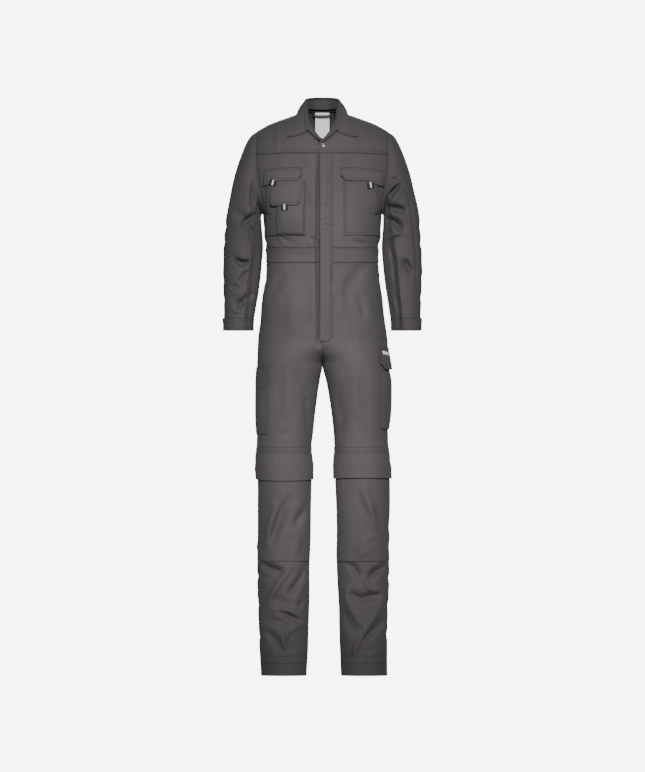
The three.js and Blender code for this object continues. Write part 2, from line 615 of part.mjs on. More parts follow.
// Phone pocket on the right chest pocket, with its own flap
const PHONE = { from: 49, to: 119, top: -172, low: -296, bulge: 8, clear: 1.2 };
const PHONE_FLAP = { from: 55, to: 131, top: -160, low: -218, corner: 9 };
addPatch("phone_pocket", -1, {
  across: spaced(PHONE.from, PHONE.to, 8),
  rows: spaced(0, 1, 7),
  top: level(PHONE.top),
  bottom: level(PHONE.low),
  lift: (u, v, x, z) => {
    const proud = PHONE.bulge * dome(u, v) * smooth(v, 0, 0.5);
    return chestPocketLift(CHEST.right, x, z) + STACK + PHONE.clear + proud;
  },
});
addPatch("phone_flap", -1, {
  across: spaced(PHONE_FLAP.from, PHONE_FLAP.to, 10),
  rows: spaced(0, 1, 5),
  top: level(PHONE_FLAP.top),
  bottom: (x) => {
    const inset = Math.min(PHONE_FLAP.corner, x - PHONE_FLAP.from, PHONE_FLAP.to - x);
    return PHONE_FLAP.low + PHONE_FLAP.corner * (1 - Math.sqrt(Math.max(0, inset) / PHONE_FLAP.corner));
  },
  lift: (u, v, x, z) => chestPocketLift(CHEST.right, x, z) + 2 * STACK + 1 + 8.5 * smooth(v, 0.1, 0.75),
});

// Thigh pockets wrap round the side seam.
const RULE = { from: 33, to: 112, top: -653, low: -836, bulge: 3 };
addPatch("rule_pocket", -1, {
  byAngle: true,
  across: spaced(RULE.from, RULE.to, 9),
  rows: spaced(0, 1, 9),
  top: level(RULE.top),
  bottom: level(RULE.low),
  lift: (u, v) => STACK + RULE.bulge * dome(u, v),
});
const CARGO = { from: 46, to: 136, top: -640, low: -822, bulge: 7 };
addPatch("cargo_pocket", 1, {
  byAngle: true,
  across: spaced(CARGO.from, CARGO.to, 10),
  rows: spaced(0, 1, 9),
  top: level(CARGO.top),
  bottom: level(CARGO.low),
  lift: (u, v) => STACK + CARGO.bulge * dome(u, v) * smooth(v, 0, 0.3),
});
const CARGO_FLAP = { from: 44, to: 138, top: -600, low: -660, corner: 14, proud: 4.2 };
addPatch("cargo_flap", 1, {
  byAngle: true,
  across: spaced(CARGO_FLAP.from, CARGO_FLAP.to, 11),
  rows: spaced(0, 1, 4),
  top: level(CARGO_FLAP.top),
  bottom: (angle) =>
    CARGO_FLAP.low +
    CARGO_FLAP.corner * (1 - smooth(angle, CARGO_FLAP.from, CARGO_FLAP.from + 11)) +
    CARGO_FLAP.corner * smooth(angle, CARGO_FLAP.to - 11, CARGO_FLAP.to),
  lift: (u, v) => STACK + 2 * STACK * smooth(v, 0.1, 0.55) + CARGO_FLAP.proud * smooth(v, 0.45, 1),
});
addPatch(
  "cargo_label",
  1,
  {
    byAngle: true,
    thickness: 1,
    across: spaced(56, 82, 5),
    rows: [0, 1],
    top: (angle) => -611 - 0.2 * (angle - 56),
    bottom: (angle) => -620 - 0.2 * (angle - 56),
    lift: () => 3 * STACK + 0.2,
  },
  { gap: 0, bevel: 0, finish: LABEL_CLOTH },
);

// Knee pad pockets: a patch down to the shin seam, and a band that overlaps its top edge. Their columns and rows
// are those of the leg below them.
const KNEE_ANGLES = [-86, ...LEG_SHARES.slice(1, -1).map((share) => mix(-90, 90, share)), 86];
const KNEE_ROWS = SHELL_ROWS.leg.filter((z) => z < KNEE_BAND_Z + 30 && z >= KNEE_LOW_Z);
const BAND_ROWS = SHELL_ROWS.leg.filter((z) => z <= KNEE_TOP_Z && z >= KNEE_BAND_Z);
const asShares = (heights) => heights.map((z) => (z - heights[0]) / (heights.at(-1) - heights[0]));
const bandSag = { right: -4, left: 4 };
for (const [word, side] of Object.entries(SIDES)) {
  addPatch(`knee_patch_${word}`, side, {
    byAngle: true,
    across: KNEE_ANGLES,
    rows: asShares(KNEE_ROWS),
    top: level(KNEE_ROWS[0]),
    bottom: level(KNEE_LOW_Z),
    lift: () => STACK,
  });
  addPatch(`knee_band_${word}`, side, {
    byAngle: true,
    across: KNEE_ANGLES,
    rows: asShares(BAND_ROWS),
    top: level(KNEE_TOP_Z),
    bottom: (angle) => KNEE_BAND_Z + bandSag[word] * Math.cos(angle * DEG),
    lift: (u, v) => STACK + (STACK + 1.8) * smooth(v, 0.05, 0.6) + 1.2 * v,
  });
}

// The shoulder surface's point and outward direction at a share of its width and rise.
function shoulderSpot(side, isFront, share, rise) {
  const point = shoulderPoint(side, isFront, share, rise);
  const around = shoulderPoint(side, isFront, share + 0.01, rise).sub(point);
  const upward = point.clone().sub(shoulderPoint(side, isFront, share, rise - 0.01));
  const normal = around.cross(upward).multiplyScalar(isFront ? side : -side).normalize();
  return { point, normal };
}

// The same, for a given x and z.
function overShoulder(side, isFront, x, z) {
  const solve = (reached) => {
    let [low, high] = [0, 1];
    for (let i = 0; i < 18; i++) {
      const middle = (low + high) / 2;
      if (reached(middle)) high = middle;
      else low = middle;
    }
    return (low + high) / 2;
  };
  const riseFor = (share) => solve((rise) => shoulderPoint(side, isFront, share, rise).z > z);
  const share = solve((value) => side * shoulderPoint(side, isFront, value, riseFor(value)).x > x);
  return shoulderSpot(side, isFront, Math.min(0.98, share), riseFor(share));
}

// Collar. Each row is one station of half the neckline, from the foot of the V to the middle of the back. neck
// is the place on the neckline, from 0 at its middle to 1 at the side of the neck; top is the stand's top edge.
// The leaf starts at station LEAF_FROM, rolls over the top edge and comes down to its outer edge, given by x, z.
const COLLAR_COLUMNS = ["neck", "topX", "topY", "topZ", "edgeX", "edgeZ"];
const COLLAR = [
  [0.04, 5, -99, -44.5, 0, 0],
  [0.22, 23, -95, -31, 0, 0],
  [0.42, 38, -88, -16, 95, -36],
  [0.6, 40.5, -71, 1, 87.5, -21],
  [0.76, 42.5, -44, 23, 80, -6],
  [0.88, 44, -14, 50, 71, 14],
  [1, 44, 14, 64, 63, 31],
  [0.8, 37, 42, 69, 52, 32.5],
  [0.45, 20, 61, 71, 29, 29],
  [0, 0, 66, 71.5, 0, 27],
].map((row) => Object.fromEntries(row.map((value, i) => [COLLAR_COLUMNS[i], value])));
const LEAF_FROM = 2;
const NECK_SIDE_STATION = 6;
const LAST_STATION = COLLAR.length - 1;
const COLLAR_CLOTH = 1.6;
const LEFT_END_AHEAD = new THREE.Vector3(-5, -3.5, -4); // the stand's left end lies over its right end

function stationValue(name, place, first = 0) {
  const places = COLLAR.map((_, i) => i).slice(first);
  return tableAt(places, COLLAR.slice(first).map((row) => row[name]), Math.max(first, place));
}
function standStation(side, place) {
  const isFront = place <= NECK_SIDE_STATION;
  const neck = Math.min(0.99, stationValue("neck", place, isFront ? 0 : NECK_SIDE_STATION));
  const { point: seam, normal } = shoulderSpot(1, isFront, NECK_SHARE * neck, 1);
  if (isFront) seam.x = tableAt(NECK_STEPS, NECK_FRONT.x, neck);
  const read = (name) => stationValue(name, place);
  const rim = new THREE.Vector3(read("topX"), read("topY"), read("topZ"));
  const up = rim.clone().sub(seam).normalize();
  seam.addScaledVector(up, mix(1.4, 3, smooth(place, 2.5, 4))).addScaledVector(normal, 1.2);
  const ahead = LEFT_END_AHEAD.clone().multiplyScalar(side > 0 ? smooth(place, 2, 0) : 0);
  return [seam, seam.clone().lerp(rim, 0.5), rim].map((p) => p.add(ahead).setX(side * p.x));
}
const bothSides = (places, station) => [
  ...places.map((place) => station(-1, place)),
  ...places.slice(0, -1).reverse().map((place) => station(1, place)),
];
const standGrid = bothSides(spaced(0, LAST_STATION, 18), standStation);
suit.add(wall("collar_stand", standGrid, COLLAR_CLOTH, { outward: 1, gap: 0.1, bevel: 0 }));

const LEAF_LIFT = 4.4;
const LEAF_BOW = 5;
const LEAF_ROLL = [
  [-1.6, 0.5],
  [-1.5, 2.8],
  [0.6, 4.9],
  [3.6, 4.7],
  [5.4, 1.5],
];
function leafStation(side, place) {
  const isFront = place < NECK_SIDE_STATION;
  const [x, z] = [stationValue("edgeX", place, LEAF_FROM), stationValue("edgeZ", place, LEAF_FROM)];
  const below = overShoulder(side, isFront, x, z);
  const edge = below.point.clone().addScaledVector(below.normal, LEAF_LIFT);
  const [seam, , rim] = standStation(side, place);
  const up = rim.clone().sub(seam).normalize();
  const around = standStation(side, Math.min(LAST_STATION, place + 0.1))[1];
  around.sub(standStation(side, Math.max(LEAF_FROM, place - 0.1))[1]);
  const out = around.cross(up).multiplyScalar(side).normalize();
  const roll = LEAF_ROLL.map(([outwards, upwards]) =>
    rim.clone().addScaledVector(out, outwards).addScaledVector(up, upwards),
  );
  const hang = (share) => {
    const point = roll[roll.length - 1].clone().lerp(edge, share);
    point.addScaledVector(out, LEAF_BOW * Math.sin(share * Math.PI));
    if (isFront && point.z < tableAt(RIDGE.x, RIDGE.z, side * point.x) - 8) {
      const surface = overShoulder(side, true, side * point.x, point.z);
      point.y = Math.min(point.y, surface.point.y + LEAF_LIFT * 1.3 * Math.min(-0.8, surface.normal.y));
    }
    return point;
  };
  return [...roll, hang(0.35), hang(0.68), edge];
}
const leafGrid = bothSides(spaced(LEAF_FROM, LAST_STATION, 14), leafStation);
suit.add(wall("collar_leaf", leafGrid, COLLAR_CLOTH, { outward: 1, gap: 0, bevel: 0.2 }));

// Hanger loop and neck label, inside the back of the neck
function strip(name, points, width, thickness, across, finish = TWILL) {
  const shares = [-0.5, 0, 0.5];
  const grid = points.map((p) => shares.map((share) => p.clone().addScaledVector(across, share * width)));
  return wall(name, grid, thickness, { outward: 1, gap: 0, bevel: 0, finish });
}
const LOOP = { half: 24.5, width: 8, y: 53.2, z: 23.5, back: 0.6, rise: 7.6 };
const loopPoints = spaced(-1, 1, 10).map(
  (t) => new THREE.Vector3(LOOP.half * t, LOOP.y + LOOP.back * t ** 6, LOOP.z + LOOP.rise * t ** 6),
);
suit.add(strip("hanger_loop", loopPoints, LOOP.width, 1.6, new THREE.Vector3(0, 0, -1)));
const NECK_LABEL = { width: 39, top: 35, low: -46, y: 56, lean: 6 };
const labelPoints = spaced(0, 1, 5).map(
  (t) => new THREE.Vector3(0, NECK_LABEL.y + NECK_LABEL.lean * t, mix(NECK_LABEL.top, NECK_LABEL.low, t)),
);
suit.add(strip("neck_label", labelPoints, NECK_LABEL.width, 1, new THREE.Vector3(1, 0, 0), LABEL_CLOTH));

// Snap: the cap at the top of the placket, and the socket on the stand's left end
function button(name, at, direction, radius, height, metal) {
  const profile = [
    [0, 0],
    [radius, 0],
    [radius, height * 0.5],
    [radius * 0.7, height],
    [0, height],
  ].map(([r, h]) => new THREE.Vector2(r, h));
  const mesh = named(name, new THREE.LatheGeometry(profile, 14), metal);
  mesh.quaternion.setFromUnitVectors(new THREE.Vector3(0, 1, 0), direction.clone().normalize());
  mesh.position.copy(at);
  return mesh;
}
const capSeat = overShoulder(1, true, 3, -57);
capSeat.point.addScaledVector(capSeat.normal, LIFT);
suit.add(button("snap_cap", capSeat.point, capSeat.normal, 6.6, 3, SNAP_NICKEL));
const SOCKET_STATION = 1.45;
const [socketSeam, , socketRim] = standStation(1, SOCKET_STATION);
const socketOut = standStation(1, SOCKET_STATION + 0.2)[1].sub(standStation(1, SOCKET_STATION - 0.2)[1]);
socketOut.cross(socketRim.clone().sub(socketSeam)).normalize();
const socketSeat = socketSeam.lerp(socketRim, 0.5).addScaledVector(socketOut, COLLAR_CLOTH + 0.6);
suit.add(button("snap_socket", socketSeat, socketOut, 4.8, 1.8, SNAP_BRASS));

// Pull tabs: a folded tape that hangs from under each flap
const TABS = {
  tab_chest_right: { side: -1, x: 127, z: -157, lift: 13.5, turn: 18 },
  tab_chest_left: { side: 1, x: 125, z: -163, lift: 11.5, turn: -10 },
  tab_phone: { side: -1, x: 92, z: -222, lift: 23, turn: 0 },
};
for (const [name, tab] of Object.entries(TABS)) {
  const angle = angleOf(tab.side, true, tab.x, tab.z);
  const normal = shellNormal(tab.side, angle, tab.z);
  const tape = named(name, new THREE.BoxGeometry(20, 2.2, 15), BLACK_TAPE);
  tape.position.copy(shellPoint(tab.side, angle, tab.z).addScaledVector(normal, tab.lift));
  tape.rotation.set(0, tab.turn * DEG, Math.atan2(normal.x, -normal.y));
  suit.add(tape);
}

export default suit;
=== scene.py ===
import bpy
import math
import numpy as np
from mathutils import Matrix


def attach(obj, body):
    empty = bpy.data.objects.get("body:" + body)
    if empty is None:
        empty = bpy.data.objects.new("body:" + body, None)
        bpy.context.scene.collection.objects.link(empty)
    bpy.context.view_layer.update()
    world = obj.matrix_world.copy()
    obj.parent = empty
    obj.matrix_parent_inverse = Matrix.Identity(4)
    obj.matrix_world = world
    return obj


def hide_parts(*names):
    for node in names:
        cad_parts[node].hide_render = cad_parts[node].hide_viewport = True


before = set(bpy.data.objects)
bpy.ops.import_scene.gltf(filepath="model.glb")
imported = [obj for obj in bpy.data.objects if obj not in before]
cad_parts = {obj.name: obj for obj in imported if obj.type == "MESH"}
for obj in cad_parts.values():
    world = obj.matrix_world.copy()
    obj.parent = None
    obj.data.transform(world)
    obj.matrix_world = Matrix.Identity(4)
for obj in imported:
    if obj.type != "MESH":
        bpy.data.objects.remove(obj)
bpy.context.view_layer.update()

# Heights of the seams
YOKE_Z, WAIST_TOP_Z, WAIST_LOW_Z = -78, -332, -373
FLY_Z, FORK_Z, FRONT_RISE_Z, BACK_RISE_Z = -586, -645, -574, -505
KNEE_TOP_Z, KNEE_BAND_Z, KNEE_LOW_Z, HEM_Z = -868, -956, -1179, -1487
YOKE_DROOP = 7
PLACKET_EDGE, PLACKET_WIDTH, UNDERLAP, UNDERLAP_DEPTH = -6, 34, 12, 4.9
STACK = 2.2  # from a panel's face to the face of what is sewn on it

# Outline of the body and legs at each height
SHELL = {
    "z": [
        -60, -160, -240, -280, -310, -332, -373, -402, -435, -467, -500, -532, -565, -597, -626, -645, -660,
        -680, -705, -735, -780, -830, -870, -915, -960, -1040, -1100, -1180, -1240, -1300, -1360, -1420, -1487,
    ],
    "outer_right": [
        172, 166, 160, 157, 155, 152, 151, 151, 156, 162, 165, 167, 172, 174, 175, 176, 176, 176, 176, 176, 176,
        176, 177, 177, 173, 173, 173, 175, 175, 173, 171, 169, 165,
    ],
    "outer_left": [
        172, 166, 160, 158, 156, 152, 151, 153, 157, 162, 165, 169, 174, 177, 178, 178, 178, 178, 178, 178, 177,
        177, 178, 180, 181, 181, 178, 180, 180, 177, 175, 175, 175,
    ],
    "inner_right": [0.3] * 16 + [
        1.5, 5.5, 10, 14, 20, 25, 30, 30, 30.5, 32, 32.5, 35, 35, 35.5, 37.5, 39, 43,
    ],
    "inner_left": [0.3] * 16 + [
        2.5, 8, 14, 19, 25.5, 31, 33, 34.5, 36, 39.5, 40.5, 39, 41.5, 45, 46, 48, 51,
    ],
    "front": [
        104, 118, 120, 117, 113, 110, 106, 107, 110, 112, 113, 113, 112, 110, 108, 107, 106, 105, 103, 101, 98,
        94, 91, 88, 84, 77, 71, 66, 64, 62, 61, 61, 61,
    ],
    "back": [
        108, 116, 112, 107, 103, 101, 102, 108, 116, 124, 131, 135, 137, 136, 131, 127, 123, 117, 112, 106, 98,
        88, 82, 79, 79, 82, 86, 89, 90, 90, 89, 89, 89,
    ],
    "side": [
        10, 10, 9, 6, 3, 1, 2, 4, 6, 8, 9, 10, 10, 10, 9, 8, 7, 5, 3, 1, -1, -3, -4, -4, -2, 3, 7, 11, 13, 14,
        14, 14, 14,
    ],
}
ARMHOLE = {"top": -19, "low": -240, "y": 11, "front": 71, "back": 74, "x": 160, "widen": 18.5, "wide_at": 0.7}
YOKE_ANGLE = 65.7
NECK_STEPS = [0, 0.25, 0.5, 0.75, 1]
NECK_FRONT = {"x": [0, 13, 25, 34.5, 39.5], "y": [-89, -81, -65, -37, 12], "z": [-42, -27, -7, 15, 39.5]}
NECK_BACK = {"x": [0, 12, 23, 33, 39.5], "y": [61, 59.5, 53, 38, 12], "z": [38, 38.2, 38.8, 39.4, 39.5]}
NECK_SHARE = 0.2
RIDGE_X = [39, 62, 75, 97, 121, 140, 157, 178]
RIDGE_Z = [39.5, 31.5, 27, 19, 10.5, 3, -5.5, -19]
SLEEVE = {
    "outer_x": [196, 214, 235, 250, 261, 267.5, 269, 268, 266, 265.5],
    "outer_z": [-32, -67, -128, -190, -250, -325, -385, -436, -486, -524.6],
    "inner_x": [164, 165.5, 165, 164, 162, 161, 164.5, 169.5, 177, 184],
    "inner_z": [-243, -250, -262, -283, -306, -338, -386, -432, -480, -524.6],
    "mid_y": [11, 10, 8, 5, 1, -5, -12, -18, -24, -29],
    "depth": [77, 81, 83, 83, 80, 75, 70, 65, 59, 54],
}
CUFF = {"top": -525, "low": -556, "outer": 267.5, "inner": 185.5, "y": -30, "depth": 54, "flare": -1}

# The largest folds, straight and soft: side, face, x, z, turn, length, width, depth
FOLDS = [
    ("right", "front", 112, -1078, -57, 130, 13, -5),
    ("right", "front", 142, -1090, -78, 130, 10, 4),
    ("right", "front", 62, -1058, -55, 80, 12, -4),
    ("right", "front", 134, -1202, 20, 78, 11, -7),
    ("right", "front", 124, -1255, -60, 120, 10, 4),
    ("right", "front", 74, -1244, -48, 84, 11, -5),
    ("right", "front", 84, -1325, 28, 92, 10, -6),
    ("right", "front", 132, -1390, -38, 70, 13, -4),
    ("left", "front", 126, -1040, 72, 130, 12, 4),
    ("left", "front", 118, -1146, 40, 70, 12, 4),
    ("left", "front", 142, -1207, 38, 70, 12, -5),
    ("left", "front", 92, -1196, -58, 60, 11, -4),
    ("left", "front", 116, -1272, 2, 110, 17, -7),
    ("left", "front", 140, -1310, 66, 110, 11, 4),
    ("left", "front", 130, -1382, 52, 120, 12, -5),
    ("right", "back", 105, -905, 8, 130, 18, -6),
    ("right", "back", 95, -985, -20, 110, 16, -5),
    ("right", "back", 120, -1240, 24, 110, 15, -5),
    ("right", "back", 90, -1350, -28, 100, 14, -5),
    ("left", "back", 108, -915, -10, 130, 18, -6),
    ("left", "back", 118, -1000, 22, 110, 16, -5),
    ("left", "back", 100, -1260, -22, 110, 15, -5),
    ("left", "back", 122, -1372, 26, 100, 14, -5),
    ("right", "back", 70, -700, -32, 150, 20, -6),
    ("left", "back", 70, -705, -30, 150, 20, -6),
    ("right", "front", 215, -250, 30, 80, 14, -6),
    ("right", "front", 218, -372, 4, 66, 12, -5),
    ("right", "front", 222, -485, 40, 78, 12, -5),
    ("left", "front", 200, -225, -2, 84, 15, -6),
    ("left", "front", 205, -262, -32, 70, 14, -5),
    ("left", "front", 226, -385, -50, 84, 13, -5),
    ("right", "back", 214, -300, -20, 90, 15, -5),
    ("right", "back", 220, -420, 18, 84, 14, -5),
    ("left", "back", 214, -310, -22, 90, 15, -5),
    ("left", "back", 222, -430, 20, 84, 14, -5),
]

# Creases on them: side, face, height (a trough is negative), width, and the line that each follows. On the
# outside of a leg or sleeve the first number of a place is y.
CREASES = [
    ("right", "front", 7, 9, [(132, -1013), (128, -1042), (141, -1078), (148, -1114), (156, -1139)]),
    ("right", "front", -8, 13, [(78, -995), (103, -1027), (123, -1063), (136, -1103), (147, -1128)]),
    ("right", "front", -6, 10, [(37, -1010), (60, -1052), (78, -1085)]),
    ("right", "front", 5, 8, [(82, -1092), (67, -1117), (74, -1160)]),
    ("right", "front", -10, 8, [(172, -1184), (139, -1195), (101, -1209)]),
    ("right", "front", -4, 8, [(168, -1218), (136, -1223), (103, -1215)]),
    ("right", "front", 7, 7, [(78, -1184), (96, -1207), (125, -1243), (146, -1283), (156, -1301)]),
    ("right", "front", -9, 9, [(45, -1189), (67, -1233), (96, -1272)]),
    ("right", "front", -6, 12, [(139, -1272), (103, -1294), (78, -1290)]),
    ("right", "front", -8, 6, [(128, -1308), (89, -1326), (51, -1342)]),
    ("right", "front", -5, 10, [(163, -1334), (121, -1341), (99, -1348)]),
    ("right", "front", -7, 9, [(157, -1359), (128, -1391), (110, -1420), (96, -1423)]),
    ("right", "front", 5, 6, [(51, -1346), (82, -1362), (110, -1380), (96, -1418)]),
    ("right", "front", -6, 7, [(98, -1384), (85, -1420)]),
    ("right", "front", -5, 8, [(49, -1280), (67, -1301)]),
    ("right", "front", 4, 6, [(147, -1305), (93, -1312), (55, -1335)]),
    ("right", "front", -2.5, 10, [(35, -737), (55, -751)]),
    ("right", "front", -6, 14, [(52, -700), (44, -764), (40, -810), (38, -850)]),
    ("right", "front", 4, 14, [(96, -640), (92, -720), (98, -800)]),
    ("right", "front", -5.5, 13, [(101, -400), (124, -429), (152, -475)]),
    ("right", "front", -3.5, 6, [(20, -580), (6, -605)]),
    ("right", "front", -2, 6, [(125, -842), (103, -832), (87, -840)]),
    ("left", "front", 7, 9, [(111, -969), (124, -1016), (139, -1049), (144, -1096)]),
    ("left", "front", 4, 8, [(143, -1108), (113, -1125), (103, -1142), (99, -1174)]),
    ("left", "front", -1.5, 3, [(113, -1155), (143, -1157)]),
    ("left", "front", -1.2, 3, [(107, -1165), (134, -1168)]),
    ("left", "front", -9, 8, [(65, -1184), (83, -1193), (99, -1218)]),
    ("left", "front", -9, 8, [(176, -1187), (143, -1207), (121, -1229)]),
    ("left", "front", 5, 6, [(117, -1211), (121, -1240), (135, -1254), (168, -1254)]),
    ("left", "front", -10, 10, [(67, -1265), (88, -1269), (106, -1281), (124, -1273), (160, -1268)]),
    ("left", "front", 6, 8, [(67, -1239), (65, -1276), (77, -1308), (103, -1344), (121, -1359)]),
    ("left", "front", 6, 8, [(171, -1272), (160, -1305), (139, -1334), (124, -1355)]),
    ("left", "front", 7, 6, [(124, -1355), (110, -1384), (90, -1413), (86, -1438)]),
    ("left", "front", -9, 8, [(174, -1331), (139, -1362), (113, -1388), (96, -1409)]),
    ("left", "front", -6, 12, [(56, -1304), (75, -1353), (96, -1372)]),
    ("left", "front", -4, 9, [(92, -1420), (143, -1413)]),
    ("left", "front", -6, 14, [(46, -690), (40, -744), (54, -788), (46, -846)]),
    ("left", "front", 4, 14, [(92, -640), (88, -720), (96, -790)]),
    ("left", "front", -6, 13, [(129, -383), (99, -396), (76, -430), (66, -470)]),
    ("left", "front", 3, 14, [(40, -400), (52, -470), (48, -540)]),
    ("right", "front", 3, 15, [(70, -430), (84, -500), (80, -570)]),
    ("left", "front", -5, 9, [(95, -455), (108, -485), (116, -520)]),
    ("left", "front", -4, 7, [(179, -585), (156, -583)]),
    ("left", "front", -3, 6, [(7, -613), (23, -594)]),
    ("right", "front", -10.3, 7.4, [(175, -238), (207, -260), (220, -281)]),
    ("right", "front", -8, 6.6, [(203, -268), (191, -291), (187, -316)]),
    ("right", "front", -6.9, 5.7, [(238, -362), (218, -375), (195, -372)]),
    ("right", "front", -8, 7.4, [(187, -451), (211, -473), (230, -493)]),
    ("right", "front", -4, 6.6, [(249, -440), (222, -437)]),
    ("right", "front", -3.4, 4.1, [(260, -518), (241, -512), (211, -513)]),
    ("left", "front", -10.3, 8.2, [(175, -223), (202, -227), (226, -234)]),
    ("left", "front", -12.6, 9, [(172, -248), (194, -263), (218, -282)]),
    ("left", "front", 5.8, 5.7, [(218, -289), (191, -300), (175, -310)]),
    ("left", "front", -6.9, 8.2, [(222, -362), (231, -381), (241, -400)]),
    ("left", "front", -5.8, 4.9, [(202, -462), (210, -513)]),
    ("left", "front", -4.6, 4.9, [(185, -481), (194, -513)]),
    ("left", "front", -11.5, 6.6, [(168, -206), (190, -180), (212, -158)]),
    ("left", "front", -3.2, 3.2, [(177, -127), (199, -132), (215, -154), (234, -189), (245, -256), (253, -337), (253, -445)]),
    ("left", "front", -6.9, 5.7, [(176, -152), (190, -146), (204, -150)]),
    ("left", "front", -5.8, 4.9, [(186, -330), (196, -372), (198, -420)]),
    ("right", "front", -6.9, 6.6, [(184, -150), (190, -190), (186, -226)]),
    ("right", "front", -5.8, 5.7, [(196, -395), (212, -405), (228, -430)]),
    ("right", "front", -5.8, 4.9, [(196, -505), (214, -516), (246, -512)]),
    ("left", "front", -3.4, 4.9, [(207, -386), (223, -410)]),
    ("right", "front", -7, 6, [(13, -88), (12, -240), (14, -330), (13, -470), (12, -600)]),
    ("right", "front", -5, 5, [(112, -306), (95, -315), (74, -319)]),
    ("right", "front", -4, 5, [(136, -313), (117, -320), (103, -319)]),
    ("right", "front", -6, 5, [(36, -305), (19, -315), (20, -331)]),
    ("right", "front", -3, 6, [(58, -150), (44, -190), (40, -232), (24, -246)]),
    ("right", "front", -3, 5, [(30, -96), (44, -108), (60, -106)]),
    ("right", "front", -1.5, 4, [(44, -248), (28, -254)]),
    ("right", "front", -2, 5, [(117, -84), (139, -103)]),
    ("left", "front", -1.3, 4, [(37, -232), (50, -230)]),
    ("left", "front", -2.4, 3.5, [(-3, -216), (12, -221), (27, -217)]),
    ("left", "front", -2.6, 3.5, [(-3, -261), (10, -256), (22, -250)]),
    ("left", "front", -2.0, 3.5, [(0, -272), (14, -271), (29, -277)]),
    ("left", "front", -1.8, 3.5, [(2, -288), (18, -284)]),
    ("left", "front", -2.2, 4, [(24, -382), (25, -440)]),
    ("left", "front", -3.5, 6, [(80, -310), (118, -324)]),
    ("left", "front", -3.5, 6, [(158, -305), (140, -324)]),
    # behind the knees and on the calves
    ("right", "back", -8, 9, [(62, -925), (100, -918), (146, -934)]),
    ("right", "back", 5, 8, [(70, -948), (108, -946), (150, -962)]),
    ("right", "back", -7, 8, [(58, -985), (96, -972), (128, -968)]),
    ("right", "back", -6, 8, [(150, -1012), (118, -1030), (84, -1024)]),
    ("right", "back", 5, 7, [(140, -1090), (112, -1130), (80, -1150)]),
    ("right", "back", -7, 9, [(58, -1215), (92, -1236), (134, -1240)]),
    ("right", "back", -6, 8, [(148, -1282), (118, -1300), (96, -1330)]),
    ("right", "back", 5, 8, [(66, -1290), (92, -1330), (128, -1352)]),
    ("right", "back", -7, 9, [(140, -1380), (104, -1396), (78, -1392)]),
    ("left", "back", -8, 9, [(66, -912), (104, -922), (148, -916)]),
    ("left", "back", 5, 8, [(64, -942), (102, -952), (142, -942)]),
    ("left", "back", -7, 8, [(150, -968), (118, -984), (80, -986)]),
    ("left", "back", -5, 8, [(62, -1016), (98, -1034), (126, -1030)]),
    ("left", "back", 5, 7, [(66, -1082), (94, -1126), (134, -1144)]),
    ("left", "back", -7, 9, [(150, -1206), (116, -1228), (82, -1226)]),
    ("left", "back", -6, 8, [(64, -1276), (94, -1302), (112, -1336)]),
    ("left", "back", 5, 8, [(148, -1296), (124, -1340), (90, -1360)]),
    ("left", "back", -6, 9, [(72, -1388), (108, -1404), (140, -1394)]),
    # seat and thighs
    ("right", "back", -4, 12, [(22, -640), (60, -672), (118, -690)]),
    ("right", "back", -3.5, 10, [(26, -690), (58, -716), (96, -726)]),
    ("right", "back", 3, 12, [(40, -470), (70, -540), (76, -600)]),
    ("left", "back", -4, 12, [(24, -646), (66, -668), (122, -698)]),
    ("left", "back", -3.5, 10, [(28, -700), (64, -724), (100, -722)]),
    ("left", "back", 3, 12, [(44, -480), (74, -546), (74, -606)]),
    ("right", "back", -3, 11, [(150, -430), (120, -470), (112, -505)]),
    ("left", "back", -3, 11, [(152, -424), (124, -462), (118, -500)]),
    # small of the back and shoulder blades
    ("right", "back", -3.5, 9, [(136, -284), (98, -292), (56, -286)]),
    ("right", "back", -3, 8, [(128, -312), (86, -308), (40, -316)]),
    ("left", "back", -3.5, 9, [(132, -290), (92, -286), (48, -294)]),
    ("left", "back", -3, 8, [(134, -316), (94, -310), (58, -314)]),
    ("right", "back", -3.5, 12, [(140, -132), (116, -176), (110, -224)]),
    ("left", "back", -3.5, 12, [(142, -138), (120, -180), (108, -232)]),
    # elbows
    ("right", "back", -9.2, 7.4, [(252, -282), (222, -296), (188, -290)]),
    ("right", "back", -8, 6.6, [(250, -318), (216, -322), (186, -340)]),
    ("right", "back", 4.6, 6.6, [(246, -352), (220, -346), (196, -362)]),
    ("right", "back", -6.9, 6.6, [(194, -404), (222, -418), (250, -414)]),
    ("right", "back", -5.8, 6.6, [(206, -468), (232, -476), (252, -470)]),
    ("left", "back", -9.2, 7.4, [(190, -284), (220, -300), (250, -292)]),
    ("left", "back", -8, 6.6, [(188, -330), (218, -330), (252, -322)]),
    ("left", "back", 4.6, 6.6, [(196, -356), (222, -358), (248, -346)]),
    ("left", "back", -6.9, 6.6, [(252, -408), (226, -424), (196, -420)]),
    ("left", "back", -5.8, 6.6, [(204, -482), (232, -470), (252, -482)]),
    # outside of the sleeves and legs
    ("right", "side", -5, 9, [(-46, -262), (-10, -276), (30, -270)]),
    ("right", "side", -6, 9, [(40, -316), (4, -322), (-38, -306)]),
    ("right", "side", -4, 8, [(-42, -404), (-18, -420), (20, -418)]),
    ("right", "side", -4, 8, [(14, -470), (-20, -476), (-52, -462)]),
    ("left", "side", -5, 9, [(-44, -270), (-6, -272), (34, -284)]),
    ("left", "side", -6, 9, [(38, -308), (0, -326), (-40, -318)]),
    ("left", "side", -4, 8, [(-46, -398), (-22, -410), (16, -424)]),
    ("left", "side", -4, 8, [(10, -478), (-22, -468), (-54, -474)]),
    ("right", "side", -4, 10, [(-34, -905), (0, -912), (36, -902)]),
    ("right", "side", -5, 9, [(-30, -1196), (6, -1214), (52, -1226)]),
